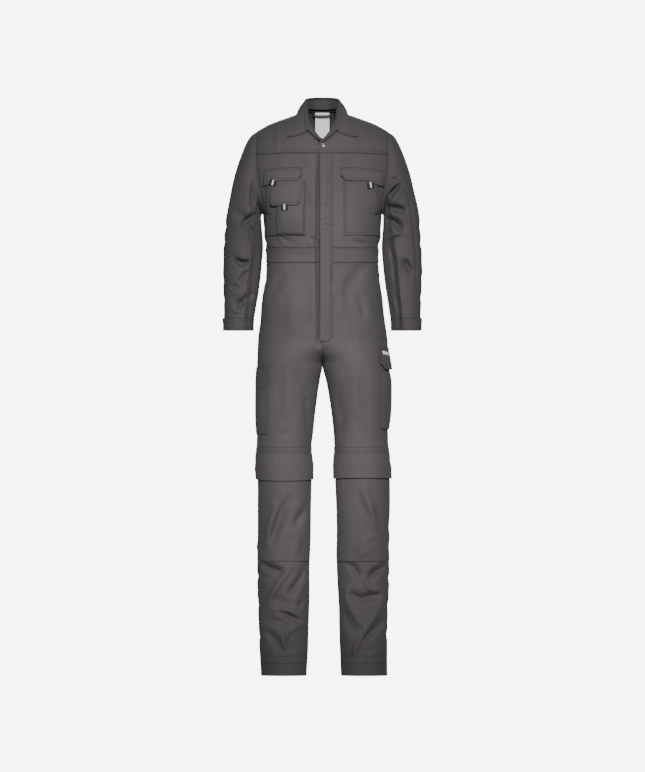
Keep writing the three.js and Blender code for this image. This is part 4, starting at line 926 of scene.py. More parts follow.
class Finish:
    """The node tree of one material."""

    def __init__(self, name):
        self.material = bpy.data.materials.new(name)
        self.material.use_nodes = True
        self.nodes = self.material.node_tree.nodes
        self.links = self.material.node_tree.links
        self.shader = self.nodes["Principled BSDF"]

    def node(self, kind, settings=None, values=None):
        made = self.nodes.new(kind)
        for key, value in (settings or {}).items():
            setattr(made, key, value)
        for key, value in (values or {}).items():
            if value is None:
                continue
            socket = made.inputs[key]
            if isinstance(value, Tap):
                self.links.new(value.socket, socket)
            else:
                socket.default_value = value
        return [Tap(self, socket) for socket in made.outputs]

    def noise(self, vector, scale, detail=2.0, roughness=0.5):
        values = {"Vector": vector, "Scale": scale, "Detail": detail, "Roughness": roughness}
        return self.node("ShaderNodeTexNoise", {}, values)[0]

    def vector(self, operation, a, b=None):
        return self.node("ShaderNodeVectorMath", {"operation": operation}, {0: a, 1: b})[0]

    def place(self, x, y, z=0.0):
        return self.node("ShaderNodeCombineXYZ", {}, {0: x, 1: y, 2: z})[0]

    def parts(self, vector):
        return self.node("ShaderNodeSeparateXYZ", {}, {0: vector})

    def blend(self, factor, a, b):
        settings = {"data_type": "RGBA"}
        made = self.nodes.new("ShaderNodeMix")
        made.data_type = settings["data_type"]
        colours = [s for s in made.inputs if s.type == "RGBA"]
        self.links.new(factor.socket, made.inputs[0])
        for socket, value in zip(colours, (a, b)):
            if isinstance(value, Tap):
                self.links.new(value.socket, socket)
            else:
                socket.default_value = (*value, 1.0)
        return Tap(self, next(s for s in made.outputs if s.type == "RGBA"))

    def set(self, **values):
        for key, value in values.items():
            socket = self.shader.inputs[key.replace("_", " ")]
            if isinstance(value, Tap):
                self.links.new(value.socket, socket)
            elif hasattr(value, "__len__"):
                socket.default_value = (*value, 1.0)
            else:
                socket.default_value = value

    def bump(self, height, strength, distance):
        values = {"Height": height, "Strength": strength, "Distance": distance}
        self.set(Normal=self.node("ShaderNodeBump", {}, values)[0])


def cut_places(finish):
    """Millimetres across and along the cut piece."""
    across, along, _ = finish.parts(finish.node("ShaderNodeUVMap", {"uv_map": "cut"})[0])
    return across * 1000.0, along * 1000.0


def make_twill(name, dark, light, wale=0.9):
    """Charcoal twill: slanting wales, uneven yarns, puckers beside the stitching, wear along the edges, and painted
    shade in the seams, along the stitching and beside the placket.
    """
    finish = Finish(name)
    u, v = cut_places(finish)
    edge = finish.node("ShaderNodeAttribute", {"attribute_name": "edge_mm"})[2]
    body = finish.node("ShaderNodeTexCoord")[3]
    slanted, straight = u * 0.82 + v * 0.57, v * 0.82 - u * 0.57
    yarns = finish.noise(finish.place(slanted * 0.9, straight * 0.16), 1.0, 2.0, 0.6)
    wales = (slanted * (2 * math.pi / wale) + yarns * 5.0).wave()
    heather = finish.noise(finish.place(u * 0.55, v * 0.55), 1.0, 3.0, 0.65)
    clouds = finish.noise(body, 7.0, 3.0, 0.55)
    streaks = finish.noise(finish.place(u * 0.16, v * 0.012), 1.0, 3.0, 0.6)
    slubs = finish.noise(finish.place(u * 0.03, v * 0.22), 1.0, 2.0, 0.6)
    near_seam = edge.fade(6.0)
    puckers = finish.noise(finish.place(u * 0.16, v * 0.16, edge * 0.03), 1.0, 2.0, 0.5)
    worn = edge.fade(1.3) * heather * 0.55
    tone = clouds * 0.5 + heather * 0.3 + yarns * 0.2 + streaks * 0.26 + slubs * 0.16 - 0.3 + worn + (puckers - 0.5) * near_seam * 0.35
    # Painted shade: the cloth's colour is blended up to 45 % towards 0.3 of its dark tone by the attribute of painted
    # shade.
    painted_shade = finish.node("ShaderNodeAttribute", {"attribute_name": "painted_shade"})[2]
    cloth_colour = finish.blend(tone.most(0.0).least(1.0), dark, light)
    finish.set(Base_Color=finish.blend(painted_shade * 0.45, cloth_colour, tuple(0.3 * part for part in dark)))
    finish.set(Roughness=0.84 + heather * 0.1, Sheen_Weight=0.06, Sheen_Roughness=0.5)
    finish.set(Sheen_Tint=(0.8, 0.78, 0.8), Specular_IOR_Level=0.22)
    height = wales * 0.05 + yarns * 0.1 + heather * 0.06 + puckers * near_seam * 1.8 + clouds * 0.2 + streaks * 0.35
    finish.bump(height, 0.7, 0.001)
    return finish.material


def make_thread(name, dark, light):
    finish = Finish(name)
    body = finish.node("ShaderNodeTexCoord")[3]
    lay = finish.noise(body, 900.0, 1.0)
    finish.set(Base_Color=finish.blend(lay, dark, light), Roughness=0.6 + lay * 0.2, Specular_IOR_Level=0.3)
    finish.bump(lay, 0.4, 0.0003)
    return finish.material


def make_label(name):
    """White woven satin, a little creased, with its cut edges heat-sealed."""
    finish = Finish(name)
    u, v = cut_places(finish)
    edge = finish.node("ShaderNodeAttribute", {"attribute_name": "edge_mm"})[2]
    ribs = (v * (2 * math.pi / 0.8)).wave()
    grain = finish.noise(finish.place(u * 1.2, v * 0.5), 1.0, 2.0)
    tone = 0.75 + grain * 0.25 - edge.fade(0.7) * 0.35
    finish.set(Base_Color=finish.blend(tone, (0.78, 0.78, 0.77), (0.96, 0.96, 0.95)), Roughness=0.6 + grain * 0.15)
    finish.bump(ribs * 0.06 + grain * 0.2, 0.5, 0.001)
    return finish.material


def make_tape(name):
    """Black webbing with one white woven stripe."""
    finish = Finish(name)
    u, v = cut_places(finish)
    stripe = 1.0 - u.size().over(2.3)
    ribs = (v * (2 * math.pi / 1.1)).wave()
    grain = finish.noise(finish.place(u * 2.0, v * 2.0), 1.0, 2.0)
    black = finish.blend(grain, (0.008, 0.008, 0.009), (0.025, 0.025, 0.027))
    white = finish.blend(grain, (0.62, 0.62, 0.6), (0.85, 0.85, 0.83))
    made = finish.nodes.new("ShaderNodeMix")
    made.data_type = "RGBA"
    colours = [s for s in made.inputs if s.type == "RGBA"]
    finish.links.new(stripe.socket, made.inputs[0])
    finish.links.new(black.socket, colours[0])
    finish.links.new(white.socket, colours[1])
    finish.set(Base_Color=Tap(finish, next(s for s in made.outputs if s.type == "RGBA")), Roughness=0.7 + grain * 0.15)
    finish.bump(ribs * 0.2 + grain * 0.1, 0.6, 0.001)
    return finish.material


def make_metal(name, dull, bright, roughness):
    """Pressed metal, with an uneven film and fine scuffs."""
    finish = Finish(name)
    body = finish.node("ShaderNodeTexCoord")[3]
    scuffs = finish.noise(body, 1400.0, 3.0, 0.6)
    film = finish.noise(body, 260.0, 2.0)
    finish.set(Base_Color=finish.blend(film * 0.6 + scuffs * 0.4, dull, bright), Metallic=1.0)
    finish.set(Roughness=roughness + scuffs * 0.25)
    finish.bump(scuffs, 0.15, 0.0002)
    return finish.material


def make_floor(name):
    finish = Finish(name)
    body = finish.node("ShaderNodeTexCoord")[3]
    grain = finish.noise(body, 3.0, 2.0)
    finish.set(Base_Color=finish.blend(grain, (0.8, 0.8, 0.8), (0.83, 0.83, 0.83)), Roughness=0.9)
    finish.set(Specular_IOR_Level=0.1)
    return finish.material


twill = make_twill("charcoal_twill", (0.046, 0.0412, 0.0428), (0.110, 0.0995, 0.1025))
thread = make_thread("charcoal_thread", (0.034, 0.031, 0.032), (0.07, 0.065, 0.067))
label_satin = make_label("white_label_satin")
tape_weave = make_tape("black_tape_white_stripe")
nickel = make_metal("dull_nickel", (0.32, 0.31, 0.29), (0.72, 0.7, 0.66), 0.28)
brass = make_metal("aged_brass", (0.3, 0.22, 0.09), (0.72, 0.55, 0.24), 0.3)


# Body: the fronts, the shoulder yokes and the back


def chest_height(v):
    return mix(YOKE_HEIGHT, WAIST_TOP_Z, v)


def front_surface(side):
    def surface(u, v):
        height = chest_height(v)
        return panel(side, True, u, height - yoke_droop(height) * u**2)

    return surface


def half_and_half(half):
    """A surface in one piece over both sides; u runs from the right edge to the left one."""

    def surface(u, v):
        u, v = np.broadcast_arrays(2.0 * u - 1, np.asarray(v, float))
        right, left = half(-1, np.maximum(-u, 0), v), half(1, np.maximum(u, 0), v)
        return np.where((u < 0)[..., None], right, left)

    return surface


BACK_SPLIT = 0.34  # the share of the back's length above the height of the front's yoke seam


def back_half(side, share, v):
    height = mix(YOKE_HEIGHT, WAIST_TOP_Z, np.maximum(0, v - BACK_SPLIT) / (1 - BACK_SPLIT))
    low = panel(side, False, share, height - yoke_droop(height) * share**2)
    high = shoulder_sheet(side, False, share, np.minimum(1, v / BACK_SPLIT))
    return np.where((v < BACK_SPLIT)[..., None], high, low)


def painted_placket_shadow(grid):
    """Painted shadow along the placket's free edge, in the hollow where the right half goes in under it."""
    x, z = grid[..., 0], grid[..., 2]
    return 0.95 * (x < 0) * smooth(x, -17, -10) * smooth(z, FLY_Z - 4, FLY_Z + 14) * (z < YOKE_Z)


def make_body():
    for word, side in SIDES.items():
        inner = "under" if side < 0 else "plain"
        cloth(f"front_{word}", front_surface(side), (0.24, 0.29), ("under", "under", inner, "felled"), side,
              shade=painted_placket_shadow)
        cloth(f"yoke_{word}", lambda u, v, s=side: shoulder_sheet(s, True, u, v), (0.22, 0.17),
              ("under", "felled", "plain", "felled"), side)
        waist = lambda u, v, s=side: panel(s, True, u, mix(WAIST_TOP_Z, WAIST_LOW_Z, v))
        cloth(f"waistband_front_{word}", waist, (0.23, 0.042), ("belt", "lapped", inner, "under"), side,
              shade=painted_placket_shadow)
    cloth("back", half_and_half(back_half), (0.46, 0.43), ("felled", "under", "felled", "felled"), -1)
    waist = half_and_half(lambda side, share, v: panel(side, False, share, mix(WAIST_TOP_Z, WAIST_LOW_Z, v)))
    cloth("waistband_back", waist, (0.42, 0.042), ("belt", "lapped", "felled", "felled"), -1)


# Trouser legs


def leg_surface(side, is_front):
    """One face of a leg. Above the fork its middle edge meets the other leg's, and the right one goes under."""
    meet = 4.0 if side < 0 else 0.3

    def surface(u, v):
        u, v = np.broadcast_arrays(np.asarray(u, float), np.asarray(v, float))
        z = mix(WAIST_LOW_Z, HEM_Z, v)
        points = panel(side, is_front, u, z)
        points[..., 0] -= side * meet * (1 - smooth(u, 0, 0.05)) * smooth(z, FORK_Z + 1, FORK_Z + 12)
        return points

    return surface


def make_legs():
    for word, side in SIDES.items():
        for face, is_front in (("front", True), ("back", False)):
            surface = leg_surface(side, is_front)
            inner = "felled" if side > 0 or not is_front else "under"
            borders = ("under", "hem", inner, "under" if is_front else "felled")
            cloth(f"leg_{face}_{word}", surface, (0.32, 1.15), borders, side if is_front else -side, pitch=4.6,
                  group="legs", shade=painted_placket_shadow if is_front else None)


# Sleeves and cuffs


def cuff_surface(side):
    over = 1.6  # the cuff's top laps over the sleeve's end, and stands this far off it

    def surface(u, v):
        half = (CUFF["outer"] - CUFF["inner"]) / 2 + over + CUFF["flare"] * v
        x = (CUFF["outer"] + CUFF["inner"]) / 2 + half * np.cos(2 * np.pi * u)
        turn = 2 * np.pi * np.asarray(u, float)
        y = CUFF["y"] - (CUFF["depth"] + over) * np.sin(turn)
        y = y + inner_turn(side, np.sin(turn), np.cos(turn), np.full(turn.shape, 9.0))
        return stack(side * x, y, mix(CUFF["top"] + 4, CUFF["low"], v))

    return surface


def sleeve_surface(side):
    """The sleeve, with its head tucked under the edge of the body."""

    def surface(u, v):
        points = sleeve(side, u, v)
        points[..., 0] -= side * 5 * (1 - smooth(np.broadcast_arrays(u, v)[1], 0, 0.012))
        return points

    return surface


def make_sleeves():
    for word, side in SIDES.items():
        cloth(f"sleeve_{word}", sleeve_surface(side), (0.43, 0.56), ("under", "under"), -side,
              wraps=True, group="sleeves")
        cloth(f"cuff_{word}", cuff_surface(side), (0.305, 0.053), ("lapped", "cuff"), -side, wraps=True,
              group="sleeves", loose=0.3)


# Pieces sewn on top of the panels


def patch(side, first, last, top, bottom, lift, by_angle=False, upright=None):
    """A surface over the shell. Its lift is how far its outer face stands off the cloth below it, and upright is
    where across the garment a first edge that hangs straight down lies."""

    def surface(u, v):
        u, v = np.broadcast_arrays(np.asarray(u, float), np.asarray(v, float))
        place = mix(first, last, u)
        z = mix(top(place), bottom(place), v)
        angle = place if by_angle else angle_of(side, True, place, z)
        if upright is not None:
            angle = angle + (angle_of(side, True, upright, z) - first) * (1 - u) ** 2
        height = lift(u, v, place, z)
        return shell(side, angle, z) + shell_normal(side, angle, z) * np.asarray(height)[..., None]

    return surface


def dome(u, v):
    return (1 - (2 * u - 1) ** 4) * (1 - (2 * v - 1) ** 4)


def level(z):
    return lambda place: z + 0 * place


CHEST = {
    "right": {"side": -1, "pocket": 45, "bulge": 5, "flap": (53, 154),
              "pocket_cut": (0.13, 0.165), "flap_cut": (0.125, 0.05)},
    "left": {"side": 1, "pocket": 57, "bulge": 2.5, "flap": (48, 160),
             "pocket_cut": (0.115, 0.165), "flap_cut": (0.138, 0.05)},
}


def chest_pocket_lift(chest, x, z):
    u = np.clip((x - chest["pocket"]) / (150 - chest["pocket"]), 0, 1)
    v = np.clip((z + 150) / -150, 0, 1)
    return STACK + chest["bulge"] * dome(u, np.minimum(1, 0.35 + 0.65 * v))


def make_chest_pockets():
    for word, chest in CHEST.items():
        side, (start, end) = chest["side"], chest["flap"]
        pocket = patch(side, chest["pocket"], 150, level(-150), level(-300),
                       lambda u, v, x, z: chest_pocket_lift(chest, x, z))
        cloth(f"chest_pocket_{word}", pocket, chest["pocket_cut"], ("plain", "patch", "patch", "patch"), side, 3.6,
              group="pockets", loose=0.4)
        flap = patch(
            side, start, end,
            lambda x: -116 - 6 * smooth(x, 90, 160),
            lambda x: -153 + 14 * (1 - smooth(x, start, start + 17)) - 12 * smooth(x, 115, 158),
            lambda u, v, x, z: STACK + 0.3 + 2 * STACK * smooth(v, 0, 0.4) + 2.5 * v * v,
        )
        cloth(f"chest_flap_{word}", flap, chest["flap_cut"], ("patch", "flap", "flap", "flap"), side, 3.0,
              group="pockets", loose=0.4)


PHONE = {"from": 49, "to": 119, "top": -172, "low": -296, "bulge": 8, "clear": 1.2}
PHONE_FLAP = {"from": 55, "to": 131, "top": -160, "low": -218, "corner": 9}


def make_phone_pocket():
    below = lambda x, z: chest_pocket_lift(CHEST["right"], x, z)
    pocket = patch(
        -1, PHONE["from"], PHONE["to"], level(PHONE["top"]), level(PHONE["low"]),
        lambda u, v, x, z: below(x, z) + STACK + PHONE["clear"] + PHONE["bulge"] * dome(u, v) * smooth(v, 0, 0.5),
    )
    cloth("phone_pocket", pocket, (0.09, 0.14), ("plain", "lapped", "lapped", "lapped"), -1, 3.4, group="pockets",
          loose=0.4)
    corner = PHONE_FLAP["corner"]

    def low_edge(x):
        inset = np.clip(np.minimum(x - PHONE_FLAP["from"], PHONE_FLAP["to"] - x), 0, corner)
        return PHONE_FLAP["low"] + corner * (1 - np.sqrt(inset / corner))

    flap = patch(
        -1, PHONE_FLAP["from"], PHONE_FLAP["to"], level(PHONE_FLAP["top"]), low_edge,
        lambda u, v, x, z: below(x, z) + 2 * STACK + 1 + 8.5 * smooth(v, 0.1, 0.75),
    )
    cloth("phone_flap", flap, (0.1, 0.075), ("plain", "flap", "flap", "flap"), -1, 3.0, group="pockets",
          loose=0.4)


def make_placket():
    surface = patch(
        1, PLACKET_EDGE, PLACKET_EDGE + PLACKET_WIDTH, level(YOKE_Z + 2),
        lambda x: FLY_Z + 1 + 15 * smooth(x, 12, PLACKET_EDGE + PLACKET_WIDTH) ** 2,
        lambda u, v, x, z: STACK + 0 * x,
    )
    sew_on("body", surface, 1, [(0.04, 0.993), (0.3, 0.99)], length=3.0, pitch=3.4, width=0.6)
    sew_on("body", surface, 1, [(0.62, 0.86), (0.6, 0.93), (0.5, 0.965), (0.3, 0.982), (0.06, 0.986)])
    cloth("placket", surface, (0.046, 0.515), ("lapped", "lapped", "fold", "placket"), 1, 3.6, group="body",
          loose=0.3)


def make_thigh_pockets():
    rule = patch(-1, 33, 112, level(-653), level(-836), lambda u, v, a, z: STACK + 3 * dome(u, v), True, 147)
    for height, reach in ((0.5, 0.16), (0.715, 0.15)):
        sew_on("pockets", rule, -1, [(0.05, height), (reach, height)], length=5.0, pitch=5.2, width=0.7)
    cloth("rule_pocket", rule, (0.146, 0.18), ("rule_top", "patch", "patch", "patch"), -1, 3.8, group="pockets",
          loose=0.4)
    cargo = patch(1, 46, 136, level(-640), level(-822),
                  lambda u, v, a, z: STACK + 7 * dome(u, v) * smooth(v, 0, 0.3), True, 157)
    cloth("cargo_pocket", cargo, (0.18, 0.185), ("cargo_top", "lapped", "lapped", "lapped"), 1, 3.8, group="pockets",
          loose=0.4)
    flap = patch(
        1, 44, 138, level(-600),
        lambda a: -660 + 14 * (1 - smooth(a, 44, 55)) + 14 * smooth(a, 127, 138),
        lambda u, v, a, z: STACK + 2 * STACK * smooth(v, 0.1, 0.55) + 4.2 * smooth(v, 0.45, 1),
        True, 151,
    )
    cloth("cargo_flap", flap, (0.215, 0.072), ("patch", "flap", "flap", "flap"), 1, 3.4, group="pockets",
          loose=0.4)
    label = patch(
        1, 56, 82, lambda a: -611 - 0.2 * (a - 56), lambda a: -620 - 0.2 * (a - 56),
        lambda u, v, a, z: 3 * STACK + 0.2 + 0 * a, True,
    )
    cloth("cargo_label", label, (0.058, 0.012), ("plain", "plain", "plain", "plain"), 1, 1.8, group="pockets",
          loose=0.1, material=label_satin)


def make_knee_pockets():
    for word, side in SIDES.items():
        lift = lambda u, v, a, z: mix(STACK, 0.9, smooth(v, 0.9, 1)) + 0 * a
        knee = patch(side, -86, 86, level(KNEE_BAND_Z), level(KNEE_LOW_Z), lift, True)
        cloth(f"knee_patch_{word}", knee, (0.235, 0.23), ("plain", "lapped", "under", "under"), side, 4.2,
              group="legs", loose=0.5)
        sag = -4 if side < 0 else 4
        band = patch(
            side, -86, 86, level(KNEE_TOP_Z), lambda a, d=sag: KNEE_BAND_Z + d * np.cos(np.radians(a)),
            lambda u, v, a, z: STACK + (STACK + 1.8) * smooth(v, 0.05, 0.6) + 1.2 * v, True,
        )
        cloth(f"knee_band_{word}", band, (0.25, 0.1), ("band_top", "fold", "under", "under"), side, 3.8,
              group="legs", loose=0.5)


# Collar. Each station of half the neckline has its place on it, the stand's top edge, and the leaf's outer edge.
COLLAR = {
    "neck": [0.04, 0.22, 0.42, 0.6, 0.76, 0.88, 1, 0.8, 0.45, 0],
    "top_x": [5, 23, 38, 40.5, 42.5, 44, 44, 37, 20, 0],
    "top_y": [-99, -95, -88, -71, -44, -14, 14, 42, 61, 66],
    "top_z": [-44.5, -31, -16, 1, 23, 50, 64, 69, 71, 71.5],
    "edge_x": [0, 0, 95, 87.5, 80, 71, 63, 52, 29, 0],
    "edge_z": [0, 0, -36, -21, -6, 14, 31, 32.5, 29, 27],
}
LEAF_FROM, NECK_SIDE, LAST = 2, 6, 9
LEAF_ROLL = [(-1.6, 0.5), (-1.5, 2.8), (0.6, 4.9), (3.6, 4.7), (5.4, 1.5)]
LEAF_LIFT, LEAF_BOW = 4.4, 5


def station_value(name, place, first=0):
    return curve(range(first, LAST + 1), COLLAR[name][first:], np.maximum(first, place))


def stand_lines(side, place):
    """The stand's lower and upper edge at stations of the neckline."""
    place = np.asarray(place, float)
    low, rim = np.empty(place.shape + (3,)), np.empty(place.shape + (3,))
    for is_front in (True, False):
        chosen = (place <= NECK_SIDE) == is_front
        if not chosen.any():
            continue
        at = place[chosen]
        neck = np.minimum(0.99, station_value("neck", at, 0 if is_front else NECK_SIDE))
        seam, normal = shoulder_spot(1, is_front, NECK_SHARE * neck, np.ones_like(neck))
        if is_front:
            seam[:, 0] = curve(NECK_STEPS, NECK_FRONT["x"], neck)
        edge = stack(*(station_value(name, at) for name in ("top_x", "top_y", "top_z")))
        up = unit(edge - seam)
        seam = seam + up * mix(1.4, 3, smooth(at, 2.5, 4))[:, None] + 1.2 * normal
        low[chosen], rim[chosen] = seam, edge
    if side > 0:
        ahead = np.array([-5, -3.5, -4]) * smooth(place, 2, 0)[..., None]
        low, rim = low + ahead, rim + ahead
    mirror = np.array([side, 1, 1])
    return low * mirror, rim * mirror


def leaf_lines(side, place):
    """The leaf's section at each station: eight points from inside the stand to its outer edge."""
    place = np.asarray(place, float)
    x, z = station_value("edge_x", place, LEAF_FROM), station_value("edge_z", place, LEAF_FROM)
    edge = np.empty(place.shape + (3,))
    for is_front in (True, False):
        chosen = (place < NECK_SIDE) == is_front
        if chosen.any():
            point, normal = over_shoulder(side, is_front, x[chosen], z[chosen])
            edge[chosen] = point + LEAF_LIFT * normal
    seam, rim = stand_lines(side, place)
    up = unit(rim - seam)
    ahead, behind = (stand_lines(side, np.clip(place + off, LEAF_FROM, LAST)) for off in (0.1, -0.1))
    out = unit(np.cross((ahead[0] + ahead[1]) - (behind[0] + behind[1]), up) * side)
    lines = [rim + outwards * out + upwards * up for outwards, upwards in LEAF_ROLL]
    start = lines[-1]
    for share in (0.35, 0.68):
        point = mix(start, edge, share) + LEAF_BOW * math.sin(share * math.pi) * out
        over = (place < NECK_SIDE) & (point[:, 2] < curve(RIDGE_X, RIDGE_Z, side * point[:, 0]) - 8)
        if over.any():
            spot, normal = over_shoulder(side, True, side * point[over, 0], point[over, 2])
            clear = spot[:, 1] + LEAF_LIFT * 1.3 * np.minimum(-0.8, normal[:, 1])
            point[over, 1] = np.minimum(point[over, 1], clear)
        lines.append(point)
    return np.stack(lines + [edge], 1)


def collar_surface(first, lines_of, across):
    """Stations run along u from the right end round the back to the left end."""
    places = np.linspace(first, LAST, 61)
    halves = [lines_of(side, places) for side in (-1, 1)]
    whole = np.concatenate([halves[0], halves[1][-2::-1]])
    along, wide = np.linspace(0, 1, len(whole)), np.array(across, float)

    def surface(u, v):
        u, v = np.broadcast_arrays(np.asarray(u, float), np.asarray(v, float))
        place = u * (len(along) - 1)
        i = np.clip(place.astype(int), 0, len(along) - 2)
        t = (place - i)[..., None]
        found = np.zeros(u.shape + (3,))
        for j in range(3):
            rows = np.stack([curve(wide, whole[n, :, j], v.ravel()[:0]) for n in range(0)]) if False else None
            near = blend_rows(whole[..., j], wide, i, v)
            far = blend_rows(whole[..., j], wide, i + 1, v)
            found[..., j] = near + (far - near) * t[..., 0]
        return found

    return surface


def blend_rows(values, keys, i, v):
    """A smooth curve through one row of values for each point."""
    n = np.arange(len(keys))
    before, after = np.maximum(n - 1, 0), np.minimum(n + 1, len(keys) - 1)
    slope = (values[:, after] - values[:, before]) / (keys[after] - keys[before])
    k = np.clip(np.searchsorted(keys, v, side="right") - 1, 0, len(keys) - 2)
    span = keys[k + 1] - keys[k]
    t = np.clip((v - keys[k]) / span, 0, 1)
    t2, t3 = t * t, t**3
    rise = (2 * t3 - 3 * t2 + 1) * values[i, k] + (3 * t2 - 2 * t3) * values[i, k + 1]
    return rise + span * ((t3 - 2 * t2 + t) * slope[i, k] + (t3 - t2) * slope[i, k + 1])


def make_collar():
    stand = collar_surface(0, lambda s, p: np.stack(
        [stand_lines(s, p)[0], (stand_lines(s, p)[0] + stand_lines(s, p)[1]) / 2, stand_lines(s, p)[1]], 1),
        [0, 0.5, 1])
    cloth("collar_stand", stand, (0.42, 0.036), ("lapped", "plain", "flap", "flap"), 1, 2.8, group="collar",
          loose=0.2)
    leaf = collar_surface(LEAF_FROM, leaf_lines, [0, 0.04, 0.09, 0.14, 0.2, 0.46, 0.74, 1])
    cloth("collar_leaf", leaf, (0.46, 0.07), ("plain", "leaf", "leaf", "leaf"), 1, 2.8, group="collar",
          loose=0.3)


# Inside the back of the neck: the hanger loop and the label


def make_neck_pieces():
    def loop(u, v):
        t = 2 * np.asarray(u, float) - 1
        z = 23.5 + 7.6 * t**6 + 4 * (1 - 2 * np.asarray(v, float))
        return stack(24.5 * t, 53.2 + 0.6 * t**6, z)

    cloth("hanger_loop", loop, (0.052, 0.011), ("plain", "plain", "plain", "plain"), -1, 2.0, group="collar",
          loose=0.0)

    def label(u, v):
        u, v = np.asarray(u, float), np.asarray(v, float)
        return stack(39 * (u - 0.5), 56 + 6 * v + 1.2 * np.sin(np.pi * u), mix(35, -46, v))

    cloth("neck_label", label, (0.041, 0.083), ("plain", "plain", "plain", "plain"), -1, 2.4, group="collar",
          loose=0.1, material=label_satin)


# Snap and pull tabs


def turned_piece(name, profile, at, direction, material, node, sides=40):
    """A round piece from its profile of radii and heights."""
    direction = unit(np.asarray(direction, float))
    side = unit(np.cross(direction, [0, 0, 1.0]))
    up = np.cross(side, direction)
    turns = 2 * np.pi * np.arange(sides) / sides
    rings = [
        at + r * (np.cos(turns)[:, None] * side + np.sin(turns)[:, None] * up) + h * direction for r, h in profile
    ]
    faces = grid_faces(len(profile), sides, True, -1)
    piece = make_mesh(name + "_metal", np.array(rings), faces, material)
    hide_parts(node)
    return piece


def make_snap():
    point, normal = over_shoulder(1, True, np.array([3.0]), np.array([-57.0]))
    cap = [(0.05, 2.7), (1.6, 2.75), (2.6, 2.5), (3.0, 2.2), (3.4, 2.45), (4.6, 2.7), (5.6, 2.5), (6.3, 1.8), (6.6, 0.9),
           (6.5, 0.2), (6.0, 0.0)]
    turned_piece("snap_cap", cap, point[0] + 0.8 * normal[0], normal[0], nickel, "snap_cap")
    low, rim = stand_lines(1, np.array([1.25, 1.45, 1.65]))
    middle = (low + rim) / 2
    out = unit(np.cross(middle[2] - middle[0], rim[1] - low[1]))
    socket = [(1.2, 0.5), (1.3, 1.3), (2.0, 1.7), (2.6, 1.5), (3.0, 1.0), (3.6, 1.1), (4.3, 1.5), (4.8, 1.1), (4.7, 0.2),
              (4.2, 0.0)]
    turned_piece("snap_socket", socket, middle[1] + 2.2 * out, out, brass, "snap_socket")


TABS = {
    "tab_chest_right": {"side": -1, "x": 127, "z": -157, "lift": 13.5, "turn": 18},
    "tab_chest_left": {"side": 1, "x": 125, "z": -163, "lift": 11.5, "turn": -10},
    "tab_phone": {"side": -1, "x": 92, "z": -222, "lift": 23, "turn": 0},
}


def make_tabs():
    """Each tab is a folded tape: down, round a small bend, and up behind itself."""
    drop, thick, half = 7.4, 1.1, 9.9
    bend = np.radians(np.linspace(0, 180, 9))
    path = [(-thick, drop)] + [(-thick * math.cos(b), -drop + thick - thick * math.sin(b)) for b in bend]
    path = np.array(path + [(thick, drop)])
    for name, tab in TABS.items():
        x, z = np.array([float(tab["x"])]), np.array([float(tab["z"])])
        angle = angle_of(tab["side"], True, x, z)
        normal = shell_normal(tab["side"], angle, z)[0]
        centre = shell(tab["side"], angle, z)[0] + tab["lift"] * normal
        flat = unit(np.array([normal[0], normal[1], 0.0]))
        across = np.array([-flat[1], flat[0], 0.0])
        turn = math.radians(tab["turn"])
        wide = across * math.cos(turn) + np.array([0, 0, 1.0]) * math.sin(turn) * -1
        tall = np.array([0, 0, 1.0]) * math.cos(turn) + across * math.sin(turn)
        edges = np.linspace(-half, half, 13)
        grid = np.array([[centre + w * wide + d * tall - f * flat for w in edges] for f, d in path])
        along = walked(grid, 0)
        uv = np.stack([np.broadcast_to(edges, along.shape), along], -1)
        nearest = np.minimum(half - np.abs(uv[..., 0]), 5)
        piece = make_mesh(name + "_tape", grid, grid_faces(*grid.shape[:2], False, 1), tape_weave, uv, nearest)
        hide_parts(name)


def make_stitching():
    for group, rows in stitches.items():
        corners = np.concatenate(rows)
        faces = (np.array(STITCH_FACES)[None] + 6 * np.arange(len(corners))[:, None, None]).reshape(-1, 3)
        piece = make_mesh(f"stitching_{group}", corners, faces, thread)


make_body()
make_legs()
make_sleeves()
make_placket()
make_chest_pockets()
make_phone_pocket()
make_thigh_pockets()
make_knee_pockets()
make_collar()
make_neck_pieces()
make_snap()
make_tabs()
make_stitching()


# Floor, light and camera
PIXEL, FRAME_WIDTH, FRAME_HEIGHT = 0.0027, 645, 772  # metres a pixel at the middle plane, and the picture's size
LENS, SENSOR = 600.0, 36.0
FLOOR_Z = -1810  # the garment hangs above it


def make_floor_disc():
    turns = 2 * np.pi * np.arange(64) / 64
    rings = [[(r * math.cos(t), r * math.sin(t), FLOOR_Z) for t in turns] for r in (1.0, 800, 1600)]
    floor = make_mesh("studio_floor", np.array(rings), grid_faces(3, 64, True, 1), make_floor("pale_floor"))


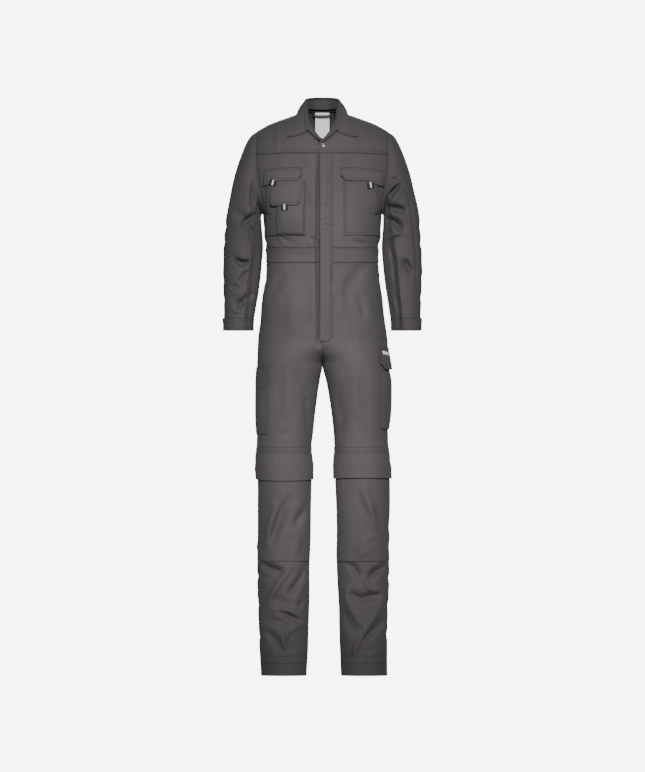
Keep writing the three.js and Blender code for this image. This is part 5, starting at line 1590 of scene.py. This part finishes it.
def make_far_card():
    """A white card far behind, which fills the view and is too far off to light the garment."""
    finish = Finish("lit_card")
    body = finish.node("ShaderNodeTexCoord")[3]
    grain = finish.noise(body, 0.3, 1.0)
    finish.set(Base_Color=finish.blend(grain, (0.8, 0.8, 0.8), (0.82, 0.82, 0.82)), Roughness=0.9)
    finish.set(Emission_Color=(1.0, 1.0, 1.0), Emission_Strength=7.0)
    half_width, half_height, far = 3200, 3200, 40000
    middle = (125 - FRAME_HEIGHT / 2) * PIXEL * 1000
    corners = [(x, far, middle + z) for x, z in ((-half_width, -half_height), (half_width, -half_height),
                                                 (half_width, half_height), (-half_width, half_height))]
    card = make_mesh("studio_card", corners, [(0, 1, 2, 3)], finish.material)


def add_light(name, place, aim, width, height, power, spread):
    light = bpy.data.lights.new(name, "AREA")
    light.shape, light.size, light.size_y, light.energy = "RECTANGLE", width, height, power
    light.spread = math.radians(spread)
    lamp = bpy.data.objects.new(name, light)
    bpy.context.scene.collection.objects.link(lamp)
    lamp.location = place
    direction = np.array(aim, float) - np.array(place, float)
    pitch = math.atan2(math.hypot(direction[0], direction[1]), -direction[2])
    lamp.rotation_euler = (pitch, 0, math.atan2(-direction[0], direction[1]))
    return lamp


def make_studio():
    make_floor_disc()
    make_far_card()
    world = bpy.data.worlds.new("white_studio")
    world.use_nodes = True
    world.node_tree.nodes["Background"].inputs[0].default_value = (1.0, 1.0, 1.0, 1.0)
    world.node_tree.nodes["Background"].inputs[1].default_value = 0.22
    bpy.context.scene.world = world
    add_light("front_softbox", (0.12, -3.0, 0.2), (0.005, 0, -0.68), 0.34, 1.5, 4.8, 20)
    add_light("back_softbox", (-0.12, 3.0, 0.4), (0, 0, -0.7), 0.34, 1.5, 5.0, 26)


def make_camera():
    camera = bpy.data.cameras.new("camera")
    camera.lens, camera.sensor_width = LENS, SENSOR
    distance = PIXEL * FRAME_HEIGHT * LENS / SENSOR
    camera.clip_start, camera.clip_end = 1.0, 200.0
    holder = bpy.data.objects.new("camera", camera)
    bpy.context.scene.collection.objects.link(holder)
    holder.location = (0.0005, -distance, (125 - FRAME_HEIGHT / 2) * PIXEL)
    holder.rotation_euler = (math.pi / 2, 0, 0)
    bpy.context.scene.camera = holder


make_studio()
make_camera()
bpy.context.view_layer.update()
